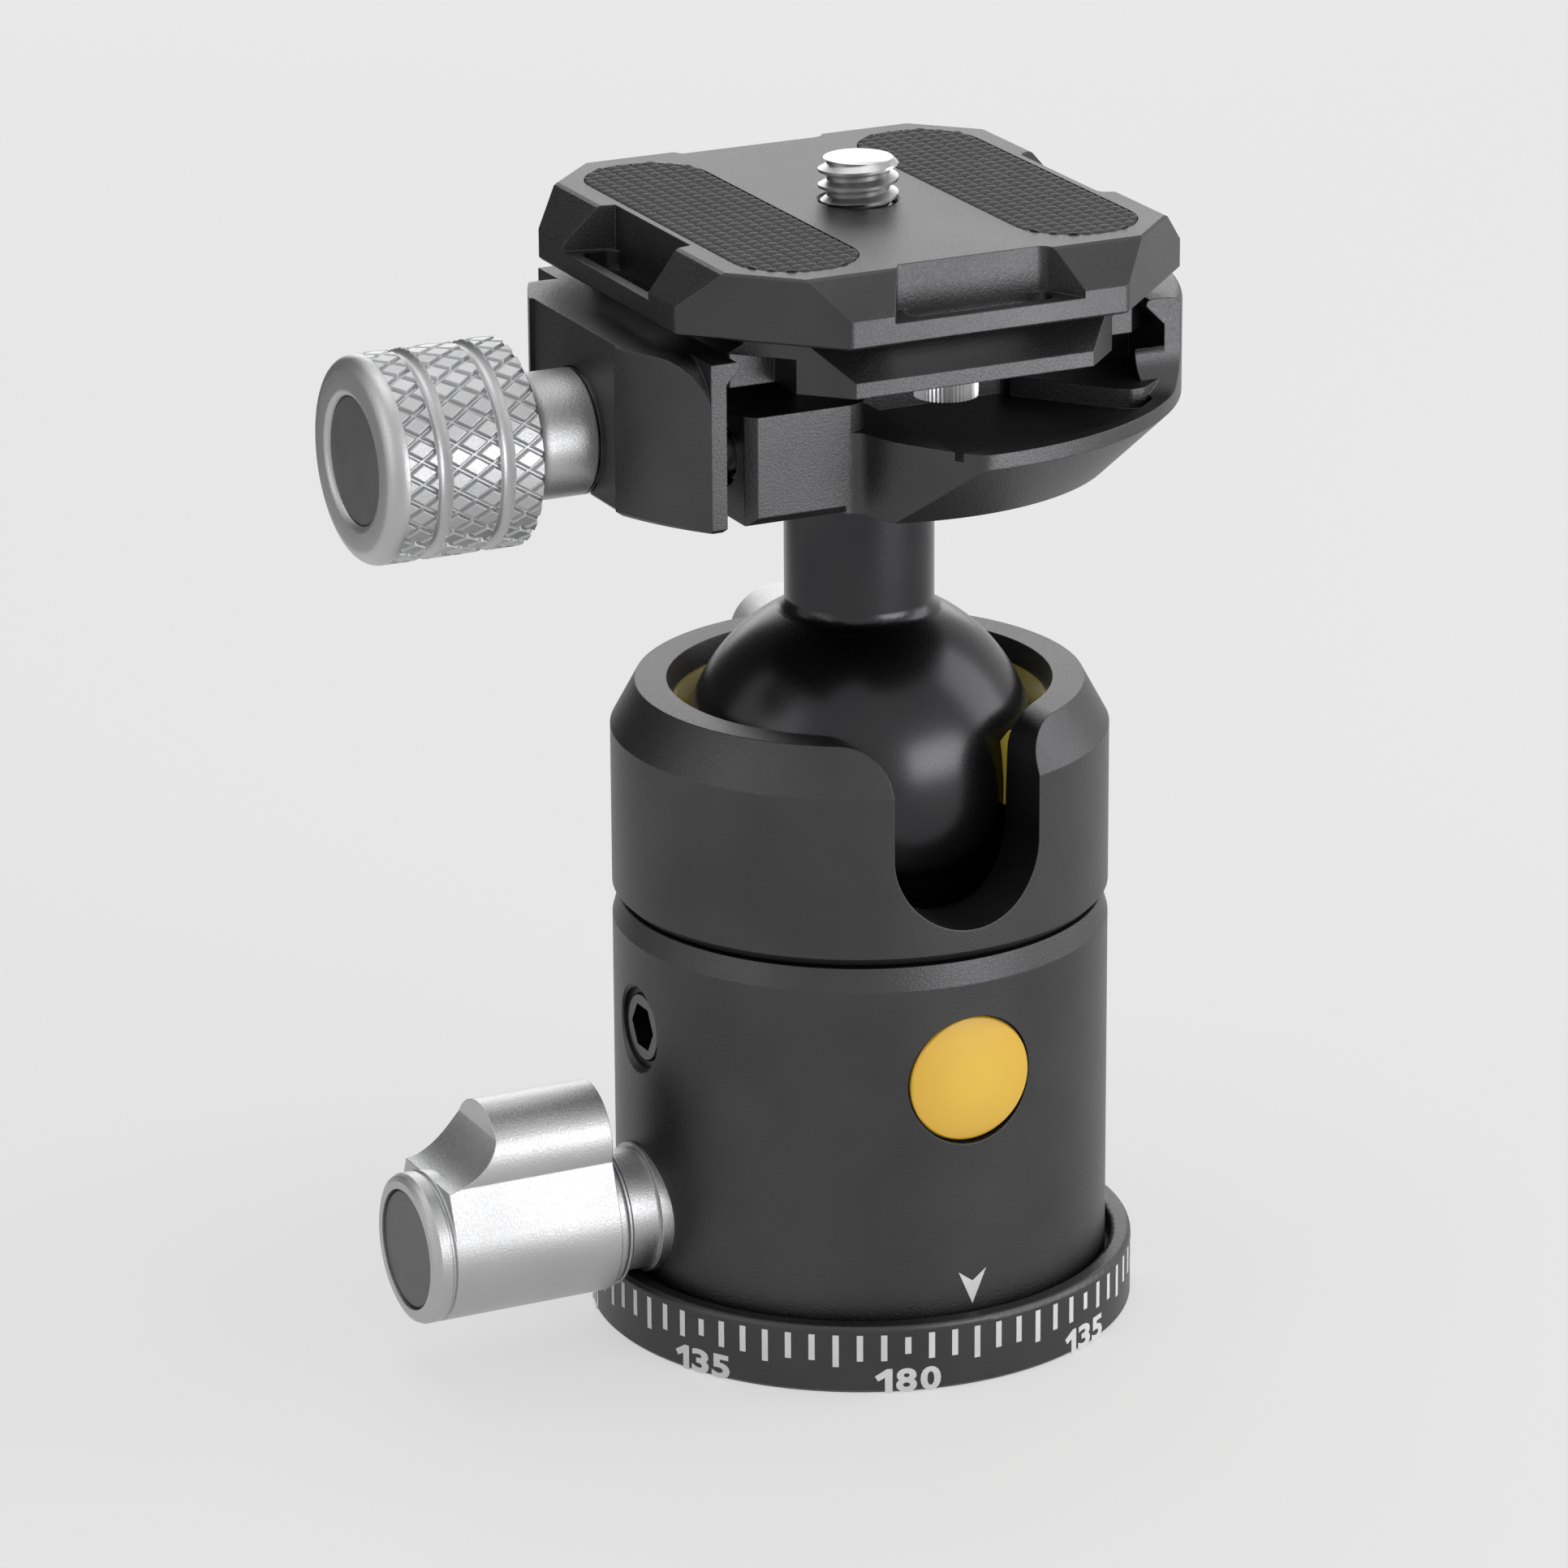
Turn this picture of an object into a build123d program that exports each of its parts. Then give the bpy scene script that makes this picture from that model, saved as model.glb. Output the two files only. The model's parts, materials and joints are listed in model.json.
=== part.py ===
from build123d import *
from math import acos, atan2, cos, hypot, radians, sin
import os

# A compact tripod ball head with a screw clamp and a quick release plate. Millimetres, +Z up.
# The origin is the centre of the base's bottom face, where the tripod's screw goes in. The drop
# notch is at the front (-Y), the pan knob and the clamp knob are at the left (-X).

# ---- driving dimensions: base and pan bearing ----
DIAL_R = 22.1
DIAL_H = 5.7
DIAL_RECESS_R = 20.45
DIAL_FLOOR = 3.4
TRIPOD_BORE_R = 4.0  # 3/8"-16 thread, minor diameter
INSERT_R = 6.2
INSERT_TOP = 10.5
HUB_R = 12.0
HUB_TOP = 15.6
STUB_R = 9.0
STUB_TOP = 19.5
BASE_SCREW_CIRCLE_R = 9.2
BASE_SCREW_R = 1.5
BASE_SCREW_HEAD_R = 2.8
THRUST_TOP = 3.9

# ---- housing ----
BODY_R = 20.0
BODY_BOTTOM = 3.95
WEB_TOP = 15.5
CAVITY_R = 14.6
SOCKET_R = 17.2
SOCKET_FLOOR = 31.8
LOWER_TOP = 35.05
GROOVE_R = 19.5
UPPER_BOTTOM = 35.2
RIM_Z = 52.9
RIM_OUTER_R = 18.0
RIM_INNER_R = 15.46
RIM_CHAMFER_Z = 49.2
LINER_TOP = 51.1
RUN_FIT = 0.05

# ---- ball, stem and drop notch ----
BALL_R = 14.3
BALL_Z = 46.07
SEAT_TOP = 36.2
STEM_R = 6.0
NOTCH_HALF = 6.35
NOTCH_Z = 44.1
NOTCH_FLARE_R = 3.0

# ---- knobs at the housing: angle counted from +X, height of the axis ----
PAN_ANGLE = 180.0
PAN_Z = 10.75
PAN_SCREW_R = 2.5
LOCK_ANGLE = 75.0
LOCK_Z = 26.0
LOCK_SHAFT_R = 3.0
LOCK_JOURNAL_R = 2.6
CAM_R = 2.7
CAM_OFFSET = 0.3
KNOB_FIN_START = 24.2
KNOB_FIN_END = 34.0
KNOB_END = 40.4
KNOB_BEAD_R = 4.4
BUSHING_END = 22.9
PAN_BUSHING_R = 4.9  # clears the dial lip
SET_SCREW_Z = 26.1
BADGE_Z = 25.1

# ---- clamp ----
CLAMP_Z = 71.6
CLAMP_R = 25.45
CLAMP_UNDER_R = 20.0
CLAMP_BAND_Z = 76.9
CLAMP_LIP_Z = 78.1
POCKET_Z = 77.4
TONGUE_Z = 79.0
BLOCK_TOP = 80.3
BLOCK_HALF_Y = 15.15
BLOCK_RIGHT_X = -8.2
BODY_LEFT_X = -16.9
DECK_Z = 81.9
DECK_HALF_Y = 8.5
JAW_HALF_Y = 14.3
JAW_TOP = 85.15
FIXED_JAW_WALL_X = 19.6
MOVING_JAW_WALL_X = 19.1
SHOULDER_Z = 81.3
MOVING_JAW_HALF_Y = 16.0
MOVING_JAW_Z = 71.8
MOVING_JAW_TOP = 85.2
MOVING_JAW_SHIFT = 0.6  # the jaw stands this far out of the clamp's circle
MOVING_JAW_FLAT_X = 24.5
MOVING_JAW_FLAT_Y = 7.9
JAW_CORNER_R = 4.2
SCREW_Z = 76.5
CLAMP_SCREW_R = 3.0
PIN_Y = 10.5
PIN_R = 1.5
PIN_TIP = 21.8
KNOB_NECK_R = 5.0
KNURL_R = 8.2
KNURL_GROOVE_R = 7.9
KNOB_NOSE = 43.4

# ---- dovetail and plate ----
FOOT_HALF_X = 19.0
FOOT_HALF_Y = 20.2
FOOT_CORNER = 30.4  # |x| + |y| on the foot's corner facets
FOOT_Z = 82.3
FOOT_BAND_TOP = 83.5
RELIEF_X = 13.6
RELIEF_Y = 13.0
RELIEF_TOP = 85.0
NECK_HALF_X = 16.6
JAW_FIT = 0.1
PLATE_Z = 86.9
PLATE_BAND_TOP = 89.15
PLATE_TOP = 92.15
PLATE_HALF_X = 21.85
PLATE_HALF_Y = 22.7
PLATE_TOP_HALF_X = 19.05
PLATE_TOP_HALF_Y = 20.15
PLATE_CORNER = 34.55  # |x| + |y| on the corner facets
STRAP_FLOOR = 88.6
# A strap slot: inner wall, rail's inner face, half length at the wall, half length at the edge.
SIDE_STRAP = (17.75, 20.9, 6.9, 8.3)
END_STRAP = (19.2, 21.7, 6.2, 8.8)
STRAP_CORNER_R = 1.0
PAD_X = 12.05
PAD_WIDTH = 10.25
PAD_LENGTH = 36.2
CAMERA_SCREW_R = 3.175  # 1/4"-20 thread, major diameter
CAMERA_SLEEVE_R = 3.0
CAMERA_SCREW_TOP = 95.5
STOP_Y = 15.1
STOP_R = 2.55
STOP_Z = 79.9


# ---- small helpers, used inside a part's own block ----
def direction(angle):
    """The unit vector of an angle counted from +X in the plan."""
    return Vector(cos(radians(angle)), sin(radians(angle)), 0)


def radial_plane(angle, height, reach=0.0):
    """The upright plane square to a direction, facing outwards, with its own y up."""
    out = direction(angle)
    return Plane(origin=out * reach + Vector(0, 0, height), x_dir=(-out.Y, out.X, 0), z_dir=out)


def side_plane(angle, height):
    """The upright plane that holds a direction, with its own x outwards and its y up."""
    out = direction(angle)
    return Plane(origin=(0, 0, height), x_dir=out, z_dir=(out.Y, -out.X, 0))


def spin(*profile, mode=Mode.ADD):
    """Turn a closed profile of (radius, height) points about the Z axis."""
    with BuildSketch(Plane.XZ) as section:
        with BuildLine():
            Polyline(*profile, close=True)
        make_face()
    revolve(section.sketch, axis=Axis.Z, mode=mode)


def spin_radial(angle, height, *profile, mode=Mode.ADD):
    """Turn a closed profile of (reach, radius) points about a level axis."""
    with BuildSketch(side_plane(angle, height)) as section:
        with BuildLine():
            Polyline(*profile, close=True)
        make_face()
    axis = Axis((0, 0, height), tuple(direction(angle)))
    revolve(section.sketch, axis=axis, mode=mode)


def radial_hole(angle, height, radius, start, end):
    """Cut a level round hole between two distances from the Z axis."""
    with BuildSketch(radial_plane(angle, height, start)) as mouth:
        Circle(radius)
    extrude(mouth.sketch, amount=end - start, mode=Mode.SUBTRACT)


def turned(*profile):
    """A whole piece that is only turned about Z."""
    with BuildPart() as piece:
        spin(*profile)
    return piece


def turned_radial(angle, height, *profile):
    """A whole piece that is only turned about a level axis."""
    with BuildPart() as piece:
        spin_radial(angle, height, *profile)
    return piece


def dome(radius, z, side):
    """The point where a ball of this radius about the ball's centre crosses a height."""
    rise = z - BALL_Z
    return (side * (radius**2 - rise**2) ** 0.5, z)


# ==== base: stays on the tripod ====
with BuildPart() as base_dial:
    spin(
        (INSERT_R, 0),
        (DIAL_R - 0.3, 0),
        (DIAL_R, 0.3),
        (DIAL_R, DIAL_H),
        (DIAL_RECESS_R, DIAL_H),
        (DIAL_RECESS_R, DIAL_FLOOR),
        (INSERT_R, DIAL_FLOOR),
    )
    lip = base_dial.edges().filter_by(GeomType.CIRCLE).group_by(Axis.Z)[-1]
    fillet(lip, radius=0.45)
    with BuildSketch(Plane.XY):
        with PolarLocations(BASE_SCREW_CIRCLE_R, 4, start_angle=45):
            Circle(BASE_SCREW_R)
    extrude(amount=DIAL_FLOOR, mode=Mode.SUBTRACT)
    with PolarLocations(BASE_SCREW_CIRCLE_R, 4, start_angle=45):
        Cone(
            BASE_SCREW_HEAD_R,
            BASE_SCREW_R,
            BASE_SCREW_HEAD_R - BASE_SCREW_R,
            align=(Align.CENTER, Align.CENTER, Align.MIN),
            mode=Mode.SUBTRACT,
        )

thread_insert = turned(
    (TRIPOD_BORE_R, 0),
    (INSERT_R, 0),
    (INSERT_R, INSERT_TOP),
    (TRIPOD_BORE_R, INSERT_TOP),
)

with BuildPart() as pan_spindle:
    spin(
        (0, DIAL_FLOOR),
        (HUB_R, DIAL_FLOOR),
        (HUB_R, HUB_TOP),
        (STUB_R, HUB_TOP),
        (STUB_R, STUB_TOP),
        (0, STUB_TOP),
    )
    with BuildSketch(Plane.XY.offset(DIAL_FLOOR)):
        Circle(INSERT_R)
    extrude(amount=INSERT_TOP - DIAL_FLOOR, mode=Mode.SUBTRACT)
    with BuildSketch(Plane.XY.offset(INSERT_TOP)):
        Circle(TRIPOD_BORE_R + 0.8)
    extrude(amount=3.0, mode=Mode.SUBTRACT)
    with BuildSketch(Plane.XY.offset(DIAL_FLOOR)):
        with PolarLocations(BASE_SCREW_CIRCLE_R, 4, start_angle=45):
            Circle(BASE_SCREW_R)
    extrude(amount=6.0, mode=Mode.SUBTRACT)

with BuildPart() as base_screws:
    with BuildSketch(Plane.XY):
        with PolarLocations(BASE_SCREW_CIRCLE_R, 4, start_angle=45):
            Circle(BASE_SCREW_R)
    extrude(amount=DIAL_FLOOR + 5.5)
    with PolarLocations(BASE_SCREW_CIRCLE_R, 4, start_angle=45):
        Cone(
            BASE_SCREW_HEAD_R,
            BASE_SCREW_R,
            BASE_SCREW_HEAD_R - BASE_SCREW_R,
            align=(Align.CENTER, Align.CENTER, Align.MIN),
        )
    with BuildSketch(Plane.XY):
        with PolarLocations(BASE_SCREW_CIRCLE_R, 4, start_angle=45):
            RegularPolygon(1.15, 6)
    extrude(amount=1.1, mode=Mode.SUBTRACT)

thrust_washer = turned(
    (HUB_R + 0.3, DIAL_FLOOR),
    (DIAL_RECESS_R - 0.95, DIAL_FLOOR),
    (DIAL_RECESS_R - 0.95, THRUST_TOP),
    (HUB_R + 0.3, THRUST_TOP),
)

retaining_washer = turned(
    (STUB_R, HUB_TOP),
    (13.5, HUB_TOP),
    (13.5, HUB_TOP + 0.8),
    (STUB_R, HUB_TOP + 0.8),
)

with BuildPart() as retaining_nut:
    spin(
        (STUB_R, HUB_TOP + 0.8),
        (12.5, HUB_TOP + 0.8),
        (12.5, STUB_TOP - 0.3),
        (STUB_R, STUB_TOP - 0.3),
    )
    with BuildSketch(Plane.XY.offset(STUB_TOP - 1.5)):
        with PolarLocations(12.3, 4):
            Rectangle(3.0, 2.2)
    extrude(amount=1.5, mode=Mode.SUBTRACT)

# ==== housing: turns on the base ====
with BuildPart() as lower_housing:
    spin(
        (HUB_R + RUN_FIT, BODY_BOTTOM),
        (BODY_R, BODY_BOTTOM),
        (BODY_R, 33.2),
        (GROOVE_R, LOWER_TOP),
        (SOCKET_R, LOWER_TOP),
        (SOCKET_R, SOCKET_FLOOR),
        (CAVITY_R, SOCKET_FLOOR),
        (CAVITY_R, WEB_TOP),
        (HUB_R + RUN_FIT, WEB_TOP),
    )
    radial_hole(PAN_ANGLE, PAN_Z, PAN_SCREW_R + RUN_FIT, HUB_R - 1, BODY_R + 1)
    radial_hole(PAN_ANGLE, PAN_Z, 5.3, 17.0, BODY_R + 1)
    radial_hole(PAN_ANGLE, SET_SCREW_Z, 2.8, CAVITY_R - 1, BODY_R + 1)
    radial_hole(PAN_ANGLE, SET_SCREW_Z, 3.3, 19.2, BODY_R + 1)
    set_screw_mouth = ((19.55, 0), (19.55, 3.25), (20.3, 4.0), (20.3, 0))
    spin_radial(PAN_ANGLE, SET_SCREW_Z, *set_screw_mouth, mode=Mode.SUBTRACT)
    radial_hole(LOCK_ANGLE, LOCK_Z, 5.5, CAVITY_R - 2, BODY_R + 1)
    radial_hole(LOCK_ANGLE + 180, LOCK_Z, LOCK_JOURNAL_R + RUN_FIT, CAVITY_R - 2, 17.2)
    radial_hole(270, BADGE_Z, 5.35, 18.9, BODY_R + 1)

with BuildPart() as upper_housing:
    with BuildSketch(Plane.XZ):
        with BuildLine():
            Polyline(
                (14.62, SOCKET_FLOOR + 0.2),
                (17.15, SOCKET_FLOOR + 0.2),
                (17.15, UPPER_BOTTOM),
                (19.2, UPPER_BOTTOM),
                (BODY_R, UPPER_BOTTOM + 0.8),
                (BODY_R, RIM_CHAMFER_Z),
                (RIM_OUTER_R, RIM_Z),
                (RIM_INNER_R, RIM_Z),
                (15.0, LINER_TOP),
                (14.85, 49.5),
                (14.62, 45.0),
                close=True,
            )
        make_face()
    revolve(axis=Axis.Z)
    with BuildSketch(Plane.XZ) as notch:
        with Locations((0, NOTCH_Z)):
            Circle(NOTCH_HALF)
        with BuildLine():
            Polyline(
                (-NOTCH_HALF, NOTCH_Z),
                (-NOTCH_HALF, RIM_Z - NOTCH_FLARE_R),
                (-NOTCH_HALF - NOTCH_FLARE_R, RIM_Z),
                (-NOTCH_HALF - NOTCH_FLARE_R, RIM_Z + 1),
                (NOTCH_HALF + NOTCH_FLARE_R, RIM_Z + 1),
                (NOTCH_HALF + NOTCH_FLARE_R, RIM_Z),
                (NOTCH_HALF, RIM_Z - NOTCH_FLARE_R),
                (NOTCH_HALF, NOTCH_Z),
                close=True,
            )
        make_face()
        with Locations(
            (-NOTCH_HALF - NOTCH_FLARE_R, RIM_Z - NOTCH_FLARE_R),
            (NOTCH_HALF + NOTCH_FLARE_R, RIM_Z - NOTCH_FLARE_R),
        ):
            Circle(NOTCH_FLARE_R, mode=Mode.SUBTRACT)
    extrude(amount=BODY_R + 1, mode=Mode.SUBTRACT)

with BuildPart() as seat_liner:
    with BuildSketch(Plane.XZ):
        with BuildLine():
            foot = Line(dome(BALL_R + 0.03, 45.0, 1), (14.62, 45.0))
            back = Polyline(foot @ 1, (14.85, 49.5), (15.0, LINER_TOP), (14.7, LINER_TOP))
            lip_edge = Line(back @ 1, dome(BALL_R + 0.03, 50.0, 1))
            ThreePointArc(lip_edge @ 1, dome(BALL_R + 0.03, 47.2, 1), foot @ 0)
        make_face()
    revolve(axis=Axis.Z)
    extrude(notch.sketch, amount=BODY_R + 1, mode=Mode.SUBTRACT)

lock_bushing = turned_radial(
    LOCK_ANGLE,
    LOCK_Z,
    (14.75, LOCK_SHAFT_R + RUN_FIT),
    (BUSHING_END, LOCK_SHAFT_R + RUN_FIT),
    (BUSHING_END, 5.3),
    (BODY_R + 0.4, 5.5),
    (14.75, 5.5),
)

pan_bushing = turned_radial(
    PAN_ANGLE,
    PAN_Z,
    (17.0, PAN_SCREW_R + RUN_FIT),
    (BUSHING_END, PAN_SCREW_R + RUN_FIT),
    (BUSHING_END, PAN_BUSHING_R - 0.2),
    (BUSHING_END - 0.2, PAN_BUSHING_R),
    (BODY_R + 0.3, PAN_BUSHING_R),
    (BODY_R + 0.3, 5.3),
    (17.0, 5.3),
)

with BuildPart() as housing_set_screw:
    spin_radial(
        PAN_ANGLE,
        SET_SCREW_Z,
        (13.3, 0),
        (13.3, 1.5),
        (14.8, 1.5),
        (14.8, 2.8),
        (19.3, 2.8),
        (19.45, 2.65),
        (19.45, 0),
    )
    with BuildSketch(radial_plane(PAN_ANGLE, SET_SCREW_Z, 16.7)):
        RegularPolygon(2.0, 6)
    extrude(amount=3.0, mode=Mode.SUBTRACT)

badge = turned_radial(
    270,
    BADGE_Z,
    (18.9, 0),
    (18.9, 5.17),
    (19.6, 5.17),
    (19.95, 4.6),
    (20.1, 2.5),
    (20.15, 0),
)


# ==== wing knobs ====
def wing_knob(angle, height, barrel_r, tip_rise, fin_middle, screw_r):
    """A round barrel with one raised wing: a bead along its tip, carried by a tapering web."""
    top = tip_rise + KNOB_BEAD_R
    crease_x = KNOB_BEAD_R - 0.1
    crease_y = tip_rise - 1.0
    # The web's flank leaves the bead at the crease and touches the barrel.
    reach = hypot(crease_x, crease_y)
    touch = atan2(crease_y, crease_x) - acos(barrel_r / reach)
    touch_x = barrel_r * cos(touch)
    touch_y = barrel_r * sin(touch)
    with BuildPart() as knob:
        with BuildSketch(radial_plane(angle, height, KNOB_FIN_START)) as section:
            with BuildLine():
                Polyline(
                    (-crease_x, crease_y),
                    (crease_x, crease_y),
                    (touch_x, touch_y),
                    (-touch_x, touch_y),
                    close=True,
                )
            make_face()
            with Locations((0, tip_rise)):
                Circle(KNOB_BEAD_R)
        extrude(section.sketch, amount=KNOB_END - KNOB_FIN_START)
        with BuildSketch(side_plane(angle, height)) as side:
            with BuildLine():
                Polyline(
                    (38.4, barrel_r - 0.2),
                    (38.4, 0),
                    (KNOB_FIN_START, 0),
                    (KNOB_FIN_START, top + 1),
                    (KNOB_FIN_END, top + 1),
                    (KNOB_FIN_END, top - 2),
                )
                ThreePointArc((KNOB_FIN_END, top - 2), fin_middle, (38.4, barrel_r - 0.2))
            make_face()
        extrude(side.sketch, amount=barrel_r + 1, both=True, mode=Mode.INTERSECT)
        spin_radial(
            angle,
            height,
            (KNOB_FIN_START, 0),
            (KNOB_FIN_START, barrel_r),
            (38.5, barrel_r),
            (38.6, barrel_r - 0.2),
            (38.8, barrel_r - 0.2),
            (38.9, barrel_r),
            (KNOB_END - 0.6, barrel_r),
            (KNOB_END - 0.2, barrel_r - 0.2),
            (KNOB_END, barrel_r - 0.6),
            (KNOB_END, 0),
        )
        collar_r = barrel_r - 0.3
        spin_radial(
            angle,
            height,
            (22.95, 0),
            (22.95, collar_r - 0.2),
            (23.15, collar_r),
            (23.35, collar_r),
            (23.4, collar_r - 0.3),
            (23.55, collar_r - 0.3),
            (23.6, collar_r),
            (KNOB_FIN_START, collar_r),
            (KNOB_FIN_START, 0),
        )
        radial_hole(angle, height, screw_r, 22.5, KNOB_END)
        radial_hole(angle, height, 4.3, 34.4, KNOB_END)
        radial_hole(angle, height, barrel_r - 1.2, 38.95, KNOB_END)
    return knob


def knob_cap(angle, height, barrel_r):
    """The dark disc let into the end of a wing knob."""
    radius = barrel_r - 1.26
    return turned_radial(
        angle,
        height,
        (38.95, 0),
        (38.95, radius),
        (40.0, radius),
        (40.2, radius - 0.2),
        (40.2, 0),
    )


def knob_screw(angle, height, start, shank_r):
    """Add a socket head screw that holds a wing knob, to the piece being built."""
    spin_radial(
        angle,
        height,
        (start, 0),
        (start, shank_r),
        (34.4, shank_r),
        (34.4, 4.1),
        (38.4, 4.1),
        (38.4, 0),
    )
    with BuildSketch(radial_plane(angle, height, 36.4)) as socket:
        RegularPolygon(1.73, 6)
    extrude(socket.sketch, amount=3.0, mode=Mode.SUBTRACT)


# ==== main lock: an eccentric shaft that lifts the pressure plate ====
LOCK_BARREL_R = 8.0
LOCK_TIP_RISE = 19.8

with BuildPart() as lock_shaft:
    spin_radial(
        LOCK_ANGLE,
        LOCK_Z,
        (-17.0, 0),
        (-17.0, LOCK_JOURNAL_R),
        (14.5, LOCK_JOURNAL_R),
        (14.5, LOCK_SHAFT_R),
        (34.4, LOCK_SHAFT_R),
        (34.4, 0),
    )
    with BuildSketch(radial_plane(LOCK_ANGLE, LOCK_Z, -5.0)):
        with Locations((CAM_OFFSET, 0)):
            Circle(CAM_R)
    extrude(amount=10.0)
    radial_hole(LOCK_ANGLE, LOCK_Z, 1.6, 27.0, 35.0)

lock_knob = wing_knob(LOCK_ANGLE, LOCK_Z, LOCK_BARREL_R, LOCK_TIP_RISE, (34.9, 13.6), LOCK_SHAFT_R)
lock_knob_cap = knob_cap(LOCK_ANGLE, LOCK_Z, LOCK_BARREL_R)

with BuildPart() as lock_knob_screw:
    knob_screw(LOCK_ANGLE, LOCK_Z, 28.0, 1.6)

with BuildPart() as pressure_plate:
    spin(
        (5.0, 28.9),
        (12.6, 28.9),
        (12.6, 22.5),
        (CAVITY_R - 0.3, 22.5),
        (CAVITY_R - 0.3, 30.4),
        (5.0, 30.4),
    )
    with BuildSketch(radial_plane(LOCK_ANGLE, 25.7, -16.0)):
        Rectangle(6.2, 6.4)
    extrude(amount=32.0, mode=Mode.SUBTRACT)
    with BuildSketch(radial_plane(PAN_ANGLE, 25.7, 10.0)):
        Rectangle(3.4, 6.4)
    extrude(amount=6.0, mode=Mode.SUBTRACT)

with BuildPart() as lower_seat:
    seat_r = BALL_R + 0.05
    with BuildSketch(Plane.XZ):
        with BuildLine():
            inner_top = ((seat_r**2 - (SEAT_TOP - BALL_Z) ** 2) ** 0.5, SEAT_TOP)
            inner_low = (5.0, BALL_Z - (seat_r**2 - 5.0**2) ** 0.5)
            middle = (9.0, BALL_Z - (seat_r**2 - 9.0**2) ** 0.5)
            ThreePointArc(inner_low, middle, inner_top)
            Polyline(inner_top, (CAVITY_R - 0.1, SEAT_TOP), (CAVITY_R - 0.1, 30.8), (5.0, 30.8), inner_low)
        make_face()
    revolve(axis=Axis.Z)

# ==== ball and stem ====
with BuildPart() as ball_stem:
    with BuildSketch(Plane.XZ):
        with BuildLine():
            stem_foot = (STEM_R, BALL_Z + (BALL_R**2 - STEM_R**2) ** 0.5)
            ThreePointArc((0, BALL_Z - BALL_R), (BALL_R, BALL_Z), stem_foot)
            Polyline(stem_foot, (STEM_R, CLAMP_Z - 0.05), (0, CLAMP_Z - 0.05), (0, BALL_Z - BALL_R))
        make_face()
    revolve(axis=Axis.Z)
    root = ball_stem.edges().filter_by(GeomType.CIRCLE).group_by(Axis.Z)[-2]
    fillet(root, radius=1.2)
    with BuildSketch(Plane.XY.offset(CLAMP_Z - 14)):
        Circle(CLAMP_SCREW_R + RUN_FIT)
    extrude(amount=14, mode=Mode.SUBTRACT)


# ==== clamp ====
def jaw_blank(wall_x, bottom, top, half_y, shift):
    """One jaw's block: a vee with a rounded nose towards the dovetail, and a round back."""
    slope = FOOT_BAND_TOP + FOOT_HALF_X + JAW_FIT
    nose_z = top - 0.55
    with BuildPart() as blank:
        with BuildSketch(Plane.XZ) as section:
            with BuildLine():
                Polyline(
                    (slope - nose_z, nose_z),
                    (wall_x, slope - wall_x),
                    (wall_x, bottom),
                    (CLAMP_R + 2, bottom),
                    (CLAMP_R + 2, top),
                    (slope - nose_z + 0.6, top),
                )
                ThreePointArc(
                    (slope - nose_z + 0.6, top),
                    (slope - nose_z + 0.05, top - 0.2),
                    (slope - nose_z, nose_z),
                )
            make_face()
        extrude(section.sketch, amount=half_y, both=True)
        with BuildSketch(Plane.XY.offset(bottom)) as round_back:
            with Locations((shift, 0)):
                Circle(CLAMP_R)
        extrude(round_back.sketch, amount=top - bottom, mode=Mode.INTERSECT)
    return blank


fixed_jaw = jaw_blank(FIXED_JAW_WALL_X, POCKET_Z, JAW_TOP, JAW_HALF_Y, 0.0)

with BuildPart() as clamp_block:
    with BuildSketch(Plane.XY.offset(CLAMP_Z)):
        with Locations(((BODY_LEFT_X + BLOCK_RIGHT_X) / 2, 0)):
            Rectangle(BLOCK_RIGHT_X - BODY_LEFT_X, 2 * BLOCK_HALF_Y)
    extrude(amount=BLOCK_TOP - CLAMP_Z)
    left_uprights = clamp_block.edges().filter_by(Axis.Z).sort_by(Axis.X)[:2]
    chamfer(left_uprights, length=0.8)
    low_ends = clamp_block.faces().sort_by(Axis.Z)[0].edges().filter_by(Axis.X)
    chamfer(low_ends, length=0.7)

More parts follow.
